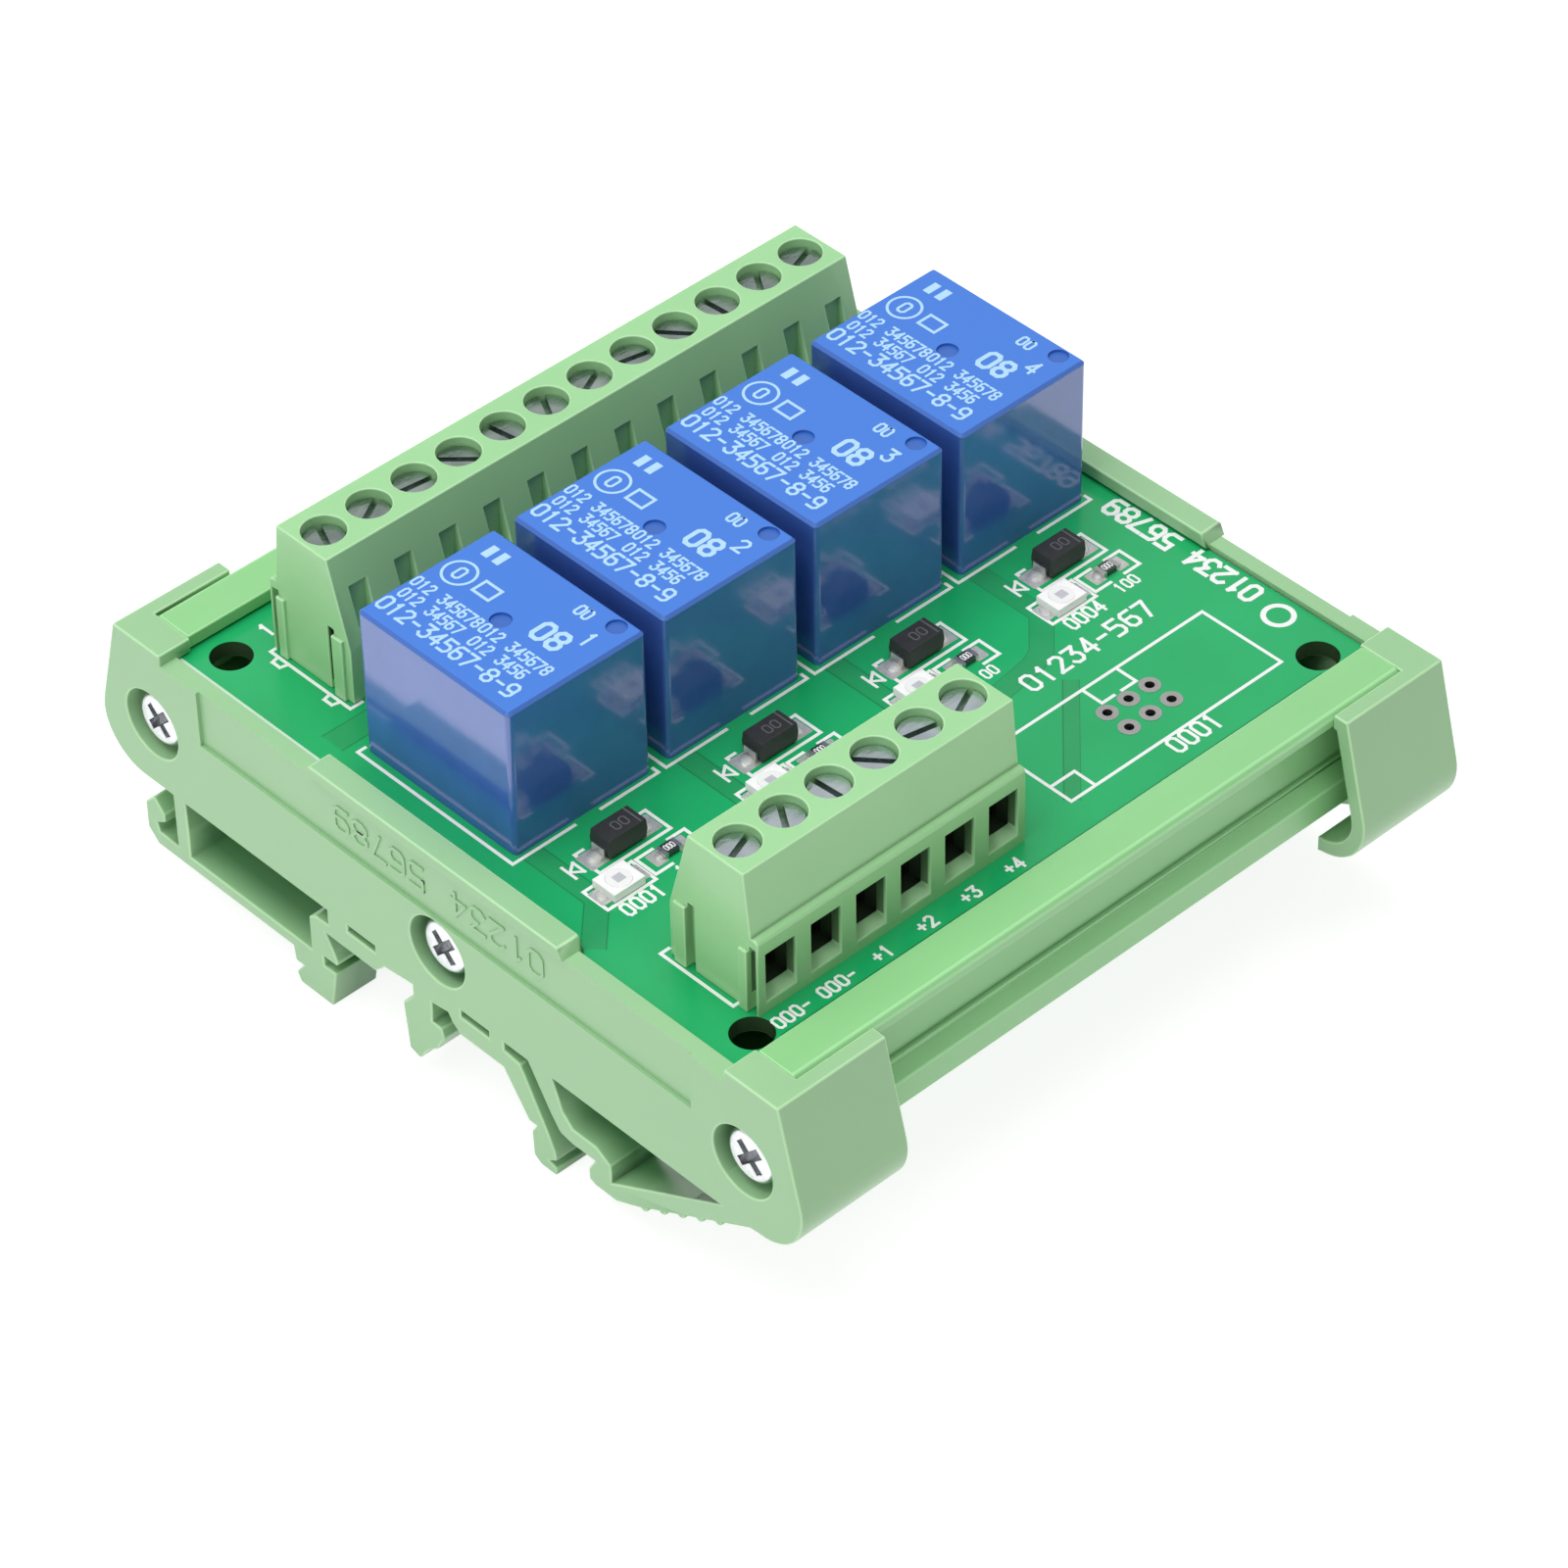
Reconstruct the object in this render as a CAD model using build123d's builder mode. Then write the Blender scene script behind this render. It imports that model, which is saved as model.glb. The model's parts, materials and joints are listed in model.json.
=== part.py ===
from build123d import *
import os

os.makedirs("parts", exist_ok=True)

# Four-relay board in a rail-mounted carrier, in millimetres.
# X runs along the row of relays and along the rail, +Y points to the twelve-pole terminal,
# +Z is up, and the origin is on the ground under the middle of the carrier.

# Relays, outer size and row
relay_count = 4
relay_width = 15.3
relay_length = 19.0
relay_height = 15.6
relay_space = 2.09
relay_pitch = relay_width + relay_space
row_left_margin = 4.11
row_right_margin = 2.82

# Board
board_length = row_left_margin + relay_count * relay_pitch - relay_space + row_right_margin
board_width = 74.0
board_thick = 1.6
board_top = 25.8
board_under = board_top - board_thick
mount_hole_d = 3.9
mount_inset_x = 3.7
mount_inset_y = 4.15
mount_pitch_x = board_length - 2 * mount_inset_x
mount_pitch_y = board_width - 2 * mount_inset_y
lead_play = 0.1
lead_below = 1.6
lead_end = board_under - lead_below

# Extruded carrier profile
end_engagement = 1.5
profile_length = board_length - 2 * end_engagement
lip_thick = 1.4
board_play = 0.25
lip_under = board_top + board_play
lip_top = lip_under + lip_thick
lip_bevel = 0.45
wall_thick = 1.4
side_play = 0.3
wall_inside = board_width + 2 * side_play
wall_outside = wall_inside + 2 * wall_thick
lip_overhang = 1.6
lip_reach = 1.4
lip_width = wall_outside + 2 * lip_overhang
lip_gap_width = wall_inside - 2 * lip_reach
support_reach = 1.9
support_thick = 1.4
floor_drop = 9.6
floor_bottom = board_top - floor_drop
floor_thick = 1.4
flange_height = 4.4
flange_step = 0.5
flange_bevel = 1.1
port_radius = 2.3
port_bore_radius = 1.45
side_port_inset = 1.1
side_port_y = wall_outside / 2 - side_port_inset
side_port_drop = 7.3
middle_port_drop = 9.3
middle_port_radius = 2.6

# End foot
plate_thick = 3.55
foot_inner_x = profile_length / 2
foot_outer_x = foot_inner_x + plate_thick
corner_wall = 1.6
foot_top_width = lip_width + 2 * corner_wall
foot_lean = 0.2535
foot_bottom_drop = 14.3
foot_bottom = board_top - foot_bottom_drop
foot_corner_radius = 5.0
end_play = 0.15
rim_inner_x = board_length / 2 + end_play
rim_rise = 0.5
corner_overlap = 0.3
corner_reach_y = lip_gap_width / 2 - corner_overlap
tab_half_length = 16.4
tab_bevel = 0.7
tab_overlap = 0.4
wrap_wall = 1.5
wrap_length = 8.45
wrap_play = 0.05
wrap_return = 6.5
counterbore_radius = 3.5
counterbore_depth = 2.6
screw_hole_radius = 1.7
panel_depth = 0.35
panel_pad_width = 1.0
panel_drop = 5.5
panel_back_gap = 6.9
panel_front_gap = 6.0
panel_back_y = side_port_y - panel_back_gap
panel_front_y = panel_front_gap - side_port_y

# Outline of the foot below its plate
foot_height = lip_top - foot_bottom
corner_y = foot_top_width / 2
heel_y = corner_y + foot_height * foot_lean

# Rail clip, cut from one thick web below the plate
clip_depth = 5.0
web_thick = 1.2
rail_level = 4.3
rail_slot = 1.1
rail_top_level = rail_level + rail_slot
rail_back_y = 15.8
rail_width = 35.0
rail_front_y = rail_back_y - rail_width
leg_inset = 10.34
leg_thick = 1.7
leg_outer_y = heel_y - leg_inset
leg_y = leg_outer_y - leg_thick
floor_below_rail = 0.4
rear_floor_thick = 1.3
rear_floor_z = rail_level - floor_below_rail
hook_height = 5.6
hook_reach = 4.2
hook_bevel = 1.3
hook_root = 1.6
hook_inner_reach = 2.6
hook_mouth_reach = 1.4
hook_nose_drop = 1.4
hook_inner_rise = 2.6
hook_mouth_rise = 3.3
hook_overlap = 0.4
block_behind_rail = 4.0
block_under_rail = 1.6
block_back_y = rail_back_y + block_behind_rail
block_front_y = rail_back_y - block_under_rail
block_wall_y = rail_back_y + block_under_rail
slot_height = 0.8
slot_length = 3.6
strip_thick = 3.0
strip_under = foot_bottom - strip_thick
finger_from_rail = 11.1
finger_y = rail_back_y - finger_from_rail
finger_bottom = 1.8
finger_rise = strip_under - finger_bottom
lever_tip_reach = 2.6
lever_tip_y = rail_front_y - lever_tip_reach
lever_tip_z = 2.5
lever_root_inset = 7.64
lever_root_y = lever_root_inset - heel_y
lever_wall = 1.7
lever_tip_wall = 0.6
lever_root_wall = 3.7
lever_inner_z = 6.2
lever_gap_rise = 1.8
lever_gap_low = rail_top_level + lever_gap_rise
lever_knee_reach = 1.5
lever_knee_y = lever_tip_y - lever_knee_reach
lever_knee_z = 3.2
ridge_count = 5
ridge_radius = 0.45
ridge_from_knee = 1.9
ridge_from_root = 3.9
ridge_start_y = lever_knee_y - ridge_from_knee
ridge_pitch = (ridge_start_y - lever_root_y - ridge_from_root) / (ridge_count - 1)

# Foot screws
foot_screw_head_radius = 2.7
foot_screw_head_height = 1.9
foot_screw_radius = 1.4
foot_screw_length = 11.0
foot_screw_recess = 1.3
recess_slot_width = 0.85
recess_slot_length = 3.3

# Screw terminal blocks
pole_pitch = 5.08
output_poles = 12
input_poles = 6
output_centre_x = 0.4
output_edge_gap = 6.0
output_entry_y = board_width / 2 - output_edge_gap
input_end_gap = 5.36
input_edge_gap = 5.1
input_centre_x = input_end_gap + input_poles * pole_pitch / 2 - board_length / 2
input_entry_y = input_edge_gap - board_width / 2
block_depth = 10.5
block_height = 14.6
shoulder_z = 8.1
shoulder_radius = 0.45
entry_step = 0.85
entry_lean = 0.7
back_step_z = 5.9
back_lean = 2.4
screw_from_entry = 4.85
window_width = 3.3
window_low = 1.8
window_high = 6.3
sill_drop = 0.7
window_wall = 1.2
cavity_width = 4.1
cavity_back = 8.0
cavity_low = 1.1
cavity_high = 9.6
screw_well_radius = 2.0
screw_seat_z = 12.2
shank_hole_radius = 1.45
back_slot_width = 1.9
back_slot_low = 6.2
back_slot_high = 11.3
back_slot_floor = 8.65
end_rib_reach = 0.35
end_groove_depth = 0.6
end_rib_height = 6.7
end_groove_height = 7.1
front_groove_y = 0.25
groove_width = 0.8
front_rib_width = 1.0
back_groove_y = 7.55
back_rib_width = 1.4

# Metal parts of a pole
clamp_width = 3.9
clamp_depth = 4.0
clamp_low = 1.5
clamp_high = 7.6
clamp_wall = 0.4
clamp_nut = 1.4
clamp_screw_play = 0.05
pole_screw_head_radius = 1.85
pole_screw_head_height = 1.5
pole_screw_radius = 1.25
pole_screw_slot_width = 0.6
pole_screw_slot_depth = 0.7
pole_screw_first_turn = 20
pole_screw_turn = 37
pole_screw_slot_overrun = 1.0
bar_width = 2.4
bar_thick = 0.7
bar_low = 5.2
leg_width = 1.0
leg_from_entry = 8.15
slot_play = 0.05

# Relays: place, case and works
relay_behind_gap = 5.2
relay_first_x = row_left_margin + relay_width / 2 - board_length / 2
relay_y = output_entry_y - block_depth - relay_behind_gap - relay_length / 2
case_wall = 0.9
case_top = 0.9
case_corner_radius = 0.5
case_bevel = 0.3
case_fit = 0.05
dimple_depth = 0.25
centre_dimple_radius = 1.0
corner_dimple_radius = 0.95
corner_dimple_side_inset = 1.35
corner_dimple_front_inset = 2.1
base_low = 0.3
base_thick = 2.0
base_top = base_low + base_thick
terminal_thick = 0.5
terminal_width = 1.6
common_width = 3.2
pin_width = 1.0
pin_thick = 0.5
coil_pin_side = 0.6
pin_from_side = 0.75
contact_from_front = 2.55
frame_from_back = 0.7
frame_back_y = case_wall + frame_from_back - relay_length / 2
com_pin_y = frame_back_y - terminal_thick / 2
contact_pin_y = relay_length / 2 - case_wall - contact_from_front
contact_pin_x = relay_width / 2 - case_wall - pin_from_side
coil_pin_x = contact_pin_x
coil_pin_from_common = 2.05
coil_pin_y = com_pin_y + coil_pin_from_common
frame_thick = 1.0
armature_room = 4.4
frame_top = relay_height - armature_room
bobbin_from_frame = 0.2
bobbin_length_room = 7.6
bobbin_width = 2 * (coil_pin_x - coil_pin_side / 2)
bobbin_depth = relay_length - bobbin_length_room
coil_y = frame_back_y + frame_thick + bobbin_from_frame + bobbin_depth / 2
winding_inset = 0.6
coil_radius = bobbin_depth / 2 - winding_inset
bobbin_flange = 0.8
winding_thick = 2.0
bobbin_hub_radius = coil_radius - winding_thick
bobbin_low = base_top + frame_thick
bobbin_below_frame_top = 1.3
bobbin_high = frame_top - bobbin_below_frame_top
frame_side_inset = 1.2
frame_width = bobbin_width - 2 * frame_side_inset
frame_foot_reach = 4.6
frame_front_y = coil_y + frame_foot_reach
bobbin_hub_wall = 0.7
core_radius = bobbin_hub_radius - bobbin_hub_wall
core_fit = 0.05
pole_face_rim = 1.0
pole_face_radius = core_radius + pole_face_rim
magnet_gap = 0.55
hinge_play = 0.05
pole_face_top = frame_top + hinge_play - magnet_gap
contact_radius = 1.1
contact_height = 0.4
contact_gap = 0.75
rest_contact_gap = 0.04
armature_thick = 1.0
armature_from_contact = 0.55
armature_front_y = contact_pin_y - contact_radius - armature_from_contact
armature_corner = 2.0
armature_low = frame_top + hinge_play
leaf_thick = 0.25
leaf_width = 3.6
leaf_from_hinge = 2.9
leaf_overhang = 1.25
leaf_back_y = frame_back_y + leaf_from_hinge
leaf_front_y = contact_pin_y + leaf_overhang
rivet_radius = 0.7
rivet_height = 0.3
rivet_pitch = 3.0

# Small parts soldered on the board's face
relay_edge_y = relay_y - relay_length / 2
diode_x = -0.3
diode_from_relay = 4.7
diode_y = relay_edge_y - diode_from_relay
diode_length = 4.3
diode_width = 2.6
diode_stand = 0.15
diode_height = 2.2
diode_taper = 5
diode_lead_width = 1.5
diode_lead_thick = 0.25
diode_lead_height = 1.2
diode_foot_length = 1.1
led_x = -3.85
led_from_relay = 8.6
led_y = relay_edge_y - led_from_relay
led_length = 3.5
led_width = 2.8
led_height = 0.9
led_well_radius = 1.15
led_well_depth = 0.4
resistor_x = 2.0
resistor_from_relay = 8.4
resistor_y = relay_edge_y - resistor_from_relay
resistor_length = 2.0
resistor_width = 1.25
resistor_height = 0.55
resistor_cap_length = 0.4
header_end_gap = 19.44
header_edge_gap = 10.3
header_x = board_length / 2 - header_end_gap
header_y = header_edge_gap - board_width / 2
header_pitch = 2.6
header_columns = 3
header_rows = 2
plating_bore_radius = 0.45
plating_wall = 0.1
plating_pad_radius = 1.0
plating_pad_thick = 0.06

relay_places = [relay_first_x + n * relay_pitch for n in range(relay_count)]
screw_places = [
    (-side_port_y, board_top - side_port_drop),
    (0, board_top - middle_port_drop),
    (side_port_y, board_top - side_port_drop),
]


def save(piece, label):
    piece.part.label = label
    export_step(piece.part, f"parts/{label}.step")


def cross_plane(x):
    """Section plane across the rail at x: its first direction is +Y, its second +Z."""
    return Plane(origin=(x, 0, 0), x_dir=(0, 1, 0), z_dir=(1, 0, 0))


def relay_seat(x):
    return Plane(origin=(x, relay_y, board_top))


def relay_section(x):
    return Plane(origin=(x, relay_y, board_top), x_dir=(0, 1, 0), z_dir=(1, 0, 0))


# Carrier profile: two lipped walls, a floor and three screw ports
with BuildPart() as carrier_profile:
    with BuildSketch(cross_plane(-profile_length / 2)):
        wall_y = wall_outside / 2
        wall_face_y = wall_inside / 2
        lip_y = lip_width / 2
        lip_edge_y = lip_gap_width / 2
        flange_top = floor_bottom + flange_height
        with BuildLine():
            Polyline(
                (lip_edge_y, lip_under),
                (lip_edge_y, lip_top),
                (lip_y - lip_bevel, lip_top),
                (lip_y, lip_top - lip_bevel),
                (lip_y, lip_under),
                (wall_y, lip_under),
                (wall_y, flange_top),
                (wall_y + flange_step, flange_top),
                (wall_y + flange_step, flange_top - flange_step),
                (lip_y, flange_top - flange_step - flange_bevel),
                (lip_y, floor_bottom),
                (0, floor_bottom),
                (0, floor_bottom + floor_thick),
                (wall_face_y, floor_bottom + floor_thick),
                (wall_face_y, board_under - support_thick),
                (wall_face_y - support_reach, board_under - support_thick),
                (wall_face_y - support_reach, board_under),
                (wall_face_y, board_under),
                (wall_face_y, lip_under),
                close=True,
            )
        make_face()
        with Locations((side_port_y, board_top - side_port_drop)):
            Circle(port_radius)
        mirror(about=Plane.YZ)
        with Locations((0, board_top - middle_port_drop)):
            Circle(middle_port_radius)
        with Locations(*screw_places):
            Circle(port_bore_radius, mode=Mode.SUBTRACT)
    extrude(amount=profile_length)
save(carrier_profile, "carrier_profile")

# Outline of a foot's corner: leaning wall, rounded bottom, short return under the profile
with BuildSketch(Plane.XY) as plate_outline:
    with BuildLine():
        Polyline(
            (corner_y, lip_top),
            (heel_y, foot_bottom),
            (-heel_y, foot_bottom),
            (-corner_y, lip_top),
            close=True,
        )
    make_face()
    fillet(plate_outline.vertices().group_by(Axis.Y)[0], foot_corner_radius)

wrap_inner_y = lip_width / 2 + wrap_play
with BuildSketch(Plane.XY) as wrap_outline:
    add(plate_outline.sketch)
    offset(plate_outline.sketch, amount=-wrap_wall, mode=Mode.SUBTRACT)
    with Locations((0, (lip_top + foot_bottom) / 2)):
        Rectangle(2 * (heel_y - wrap_return), foot_height, mode=Mode.SUBTRACT)
    with Locations((0, lip_top)):
        Rectangle(2 * wrap_inner_y, 2 * wrap_wall + lip_thick, mode=Mode.SUBTRACT)

# Rail clip: solid strips first, then its slots and openings are cut
hook_y = leg_outer_y + hook_reach
web_top = foot_bottom + web_thick

lever_slope = (foot_bottom - lever_knee_z) / (lever_knee_y - lever_root_y)
ridge_places = []
for n in range(ridge_count):
    ridge_y = ridge_start_y - n * ridge_pitch
    ridge_places.append((ridge_y, lever_knee_z + (lever_knee_y - ridge_y) * lever_slope))

with BuildSketch(Plane.XY) as clip_outline:
    # rear loop, its leg and its floor
    with BuildLine():
        Polyline(
            (leg_outer_y, web_top),
            (leg_outer_y, rear_floor_z),
            (block_back_y + 0.2, rear_floor_z),
            (block_back_y, 2.3),
            (block_back_y - 1.0, 2.3),
            (block_back_y, 1.0),
            (block_back_y - 0.5, 0),
            (block_front_y + 0.8, 0),
            (block_front_y, rail_level),
            (rail_back_y, rail_level),
            (rail_back_y, rail_top_level),
            (block_front_y - 0.2, rail_top_level),
            (block_front_y - 0.4, rail_top_level + 0.5),
            (block_front_y + 1.0, strip_under),
            (finger_y + 3.9, strip_under),
            (finger_y + 2.6, foot_bottom - 0.57 * strip_thick),
            (finger_y - 1.0, foot_bottom - 0.43 * strip_thick),
            (finger_y - 1.0, foot_bottom - 0.87 * strip_thick),
            (finger_y + 0.4, finger_bottom + 0.82 * finger_rise),
            (finger_y - 0.1, finger_bottom + 0.06 * finger_rise),
            (finger_y - 1.4, finger_bottom),
            (finger_y - 2.5, finger_bottom + 0.24 * finger_rise),
            (finger_y - 3.9, finger_bottom + 0.42 * finger_rise),
            (finger_y - 4.9, finger_bottom + 0.69 * finger_rise),
            (finger_y - 4.6, finger_bottom + 0.84 * finger_rise),
            (finger_y - 3.4, finger_bottom + 0.85 * finger_rise),
            (finger_y - 3.5, foot_bottom - 0.57 * strip_thick),
            (finger_y - 5.6, foot_bottom - 0.47 * strip_thick),
            (finger_y - 6.1, foot_bottom - 0.73 * strip_thick),
            (finger_y - 7.1, strip_under),
            (rail_front_y + 11.3, strip_under),
            (rail_front_y + 8.3, rail_level),
            (rail_front_y + 7.4, rail_level),
            (rail_front_y + 8.0, 3.3),
            (rail_front_y + 7.9, 0.6),
            (rail_front_y + 7.0, 0),
            (rail_front_y + 5.1, 0),
            (rail_front_y + 5.0, 0.8),
            (rail_front_y + 5.9, 1.2),
            (rail_front_y + 5.0, 1.8),
            (rail_front_y + 5.1, 2.7),
            (rail_front_y + 6.0, rail_level + 0.3),
            (rail_front_y + 9.1, foot_bottom - 0.4 * strip_thick),
            (rail_front_y + 11.1, foot_bottom - 0.3 * strip_thick),
            (rail_front_y + 11.1, foot_bottom),
            (rail_front_y + 8.1, foot_bottom),
            (rail_front_y + 5.5, rail_top_level + 1.9),
            (rail_front_y + 4.3, rail_top_level + 0.3),
            (rail_front_y + 2.8, rail_top_level),
            (rail_front_y, rail_top_level),
            (rail_front_y + 0.8, 4.0),
            (rail_front_y + 0.8, 2.8),
            (rail_front_y, lever_tip_z),
            (lever_tip_y, lever_tip_z),
            (lever_knee_y, lever_knee_z),
            (lever_root_y, foot_bottom),
            (lever_root_y, web_top),
            close=True,
        )
    make_face()
    # rear opening under the plate, over the rear block's shoulder
    with BuildLine():
        Polyline(
            (leg_y, foot_bottom),
            (leg_y, rear_floor_z + rear_floor_thick),
            (block_wall_y, rear_floor_z + rear_floor_thick),
            (block_wall_y, foot_bottom - 0.8 * strip_thick),
            (block_wall_y - 0.8, foot_bottom - 0.6 * strip_thick),
            (block_wall_y - 2.6, foot_bottom - 0.57 * strip_thick),
            (block_wall_y - 2.6, foot_bottom),
            close=True,
        )
    make_face(mode=Mode.SUBTRACT)
    # opening above the lever
    with BuildLine():
        Polyline(
            (rail_front_y + 5.0, foot_bottom),
            (rail_front_y + 3.9, lever_gap_low + 1.3),
            (rail_front_y + 2.7, lever_gap_low),
            (rail_front_y - 0.2, lever_gap_low),
            (lever_tip_y + lever_tip_wall, lever_inner_z),
            (lever_tip_y + lever_tip_wall, lever_tip_z + lever_wall),
            (lever_root_y + lever_root_wall, foot_bottom),
            close=True,
        )
    make_face(mode=Mode.SUBTRACT)
    # flexing slots on both sides of the middle screw
    slot_middle_z = foot_bottom - slot_height / 2
    with Locations((finger_y + 5.6, slot_middle_z), (rail_front_y + 14.8, slot_middle_z)):
        Rectangle(slot_length, slot_height, mode=Mode.SUBTRACT)
    # outer hook behind the rear leg
    with BuildLine():
        Polyline(
            (leg_outer_y - hook_overlap, rear_floor_z),
            (hook_y - hook_bevel, rear_floor_z),
            (hook_y, rear_floor_z + hook_bevel),
            (hook_y, rear_floor_z + hook_height - hook_bevel),
            (hook_y - hook_bevel, rear_floor_z + hook_height),
            (hook_y - hook_inner_reach, rear_floor_z + hook_height - hook_nose_drop),
            (hook_y - hook_inner_reach, rear_floor_z + hook_mouth_rise),
            (hook_y - hook_mouth_reach, rear_floor_z + hook_inner_rise),
            (hook_y - hook_root, rear_floor_z + hook_root),
            (leg_outer_y - hook_overlap, rear_floor_z + hook_root),
            close=True,
        )
    make_face()
    # thumb ridges along the underside of the lever
    with Locations(*ridge_places):
        Circle(ridge_radius)

with BuildPart() as foot_right:
    # end plate
    with BuildSketch(cross_plane(foot_inner_x)):
        add(plate_outline.sketch)
    extrude(amount=plate_thick)
    # pocket that the end of the board lies in
    pocket_depth = rim_inner_x - foot_inner_x
    with BuildSketch(cross_plane(foot_inner_x)):
        with Locations((0, (board_under + lip_under) / 2)):
            Rectangle(wall_inside, lip_under - board_under)
        with Locations((0, (lip_under + lip_top) / 2)):
            Rectangle(2 * corner_reach_y, lip_top - lip_under)
    extrude(amount=pocket_depth, mode=Mode.SUBTRACT)
    # low rim between the corners
    with BuildSketch(cross_plane(foot_inner_x)):
        with Locations((0, (board_top + rim_rise + lip_top) / 2)):
            Rectangle(2 * corner_reach_y, lip_top - board_top - rim_rise)
    extrude(amount=plate_thick, mode=Mode.SUBTRACT)
    # tab that holds the board down
    tab_width = foot_outer_x - board_length / 2 + tab_overlap
    with BuildSketch(cross_plane(foot_outer_x - tab_width)):
        with BuildLine():
            Polyline(
                (-tab_half_length, lip_under),
                (-tab_half_length + tab_bevel, lip_top),
                (tab_half_length - tab_bevel, lip_top),
                (tab_half_length, lip_under),
                close=True,
            )
        make_face()
    extrude(amount=tab_width)
    # skirts that wrap the ends of the profile
    with BuildSketch(cross_plane(foot_inner_x - wrap_length)):
        add(wrap_outline.sketch)
    extrude(amount=wrap_length)
    # rail clip
    with BuildSketch(cross_plane(foot_outer_x - clip_depth)):
        add(clip_outline.sketch)
    extrude(amount=clip_depth)
    # screw holes with their counterbores
    with BuildSketch(cross_plane(foot_outer_x)):
        with Locations(*screw_places):
            Circle(counterbore_radius)
    extrude(amount=-counterbore_depth, mode=Mode.SUBTRACT)
    with BuildSketch(cross_plane(foot_outer_x)):
        with Locations(*screw_places):
            Circle(screw_hole_radius)
    extrude(amount=-plate_thick, mode=Mode.SUBTRACT)
    # shallow panel on the outer face
    with BuildSketch(cross_plane(foot_outer_x)):
        panel_low = board_top - panel_drop
        panel_high = board_top + rim_rise
        with Locations(((panel_back_y + panel_front_y) / 2, (panel_low + panel_high) / 2)):
            Rectangle(panel_back_y - panel_front_y, panel_high - panel_low)
        with Locations(screw_places[1]):
            Circle(counterbore_radius + panel_pad_width, mode=Mode.SUBTRACT)
    extrude(amount=-panel_depth, mode=Mode.SUBTRACT)
save(foot_right, "foot_right")

with BuildPart() as foot_left:
    mirror(foot_right.part, about=Plane.YZ)
save(foot_left, "foot_left")

# Foot screws, three to a foot, with a cross recess in each head
seat_x = foot_outer_x - counterbore_depth
with BuildPart() as foot_screws_right:
    with BuildSketch(cross_plane(seat_x)):
        with Locations(*screw_places):
            Circle(foot_screw_head_radius)
    extrude(amount=foot_screw_head_height)
    head_edges = foot_screws_right.edges().filter_by(GeomType.CIRCLE).group_by(Axis.X)[-1]
    fillet(head_edges, foot_screw_head_height / 3)
    with BuildSketch(cross_plane(seat_x)):
        with Locations(*screw_places):
            Circle(foot_screw_radius)
    extrude(amount=-foot_screw_length)
    with BuildSketch(cross_plane(seat_x + foot_screw_head_height)):
        with Locations(*screw_places):
            Rectangle(recess_slot_length, recess_slot_width, rotation=45)
            Rectangle(recess_slot_length, recess_slot_width, rotation=-45)
    extrude(amount=-foot_screw_recess, mode=Mode.SUBTRACT)
save(foot_screws_right, "foot_screws_right")

with BuildPart() as foot_screws_left:
    mirror(foot_screws_right.part, about=Plane.YZ)
save(foot_screws_left, "foot_screws_left")


def terminal_row(facing, centre_x, entry_y):
    """Plane lying on the board along a terminal block: X along the row, +Y into the block."""
    return Plane(origin=(centre_x, entry_y, board_top), x_dir=(-facing, 0, 0), z_dir=(0, 0, 1))


def terminal_section(facing, x, entry_y):
    """Section plane of a terminal block: first direction into the block, second +Z."""
    return Plane(origin=(x, entry_y, board_top), x_dir=(0, -facing, 0), z_dir=(-facing, 0, 0))


def terminal_front(facing, centre_x, entry_y, inset):
    """Plane of the wire entries, inset into the block; its normal points out of them."""
    origin = (centre_x, entry_y - facing * inset, board_top)
    return Plane(origin=origin, x_dir=(-facing, 0, 0), z_dir=(0, facing, 0))


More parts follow.
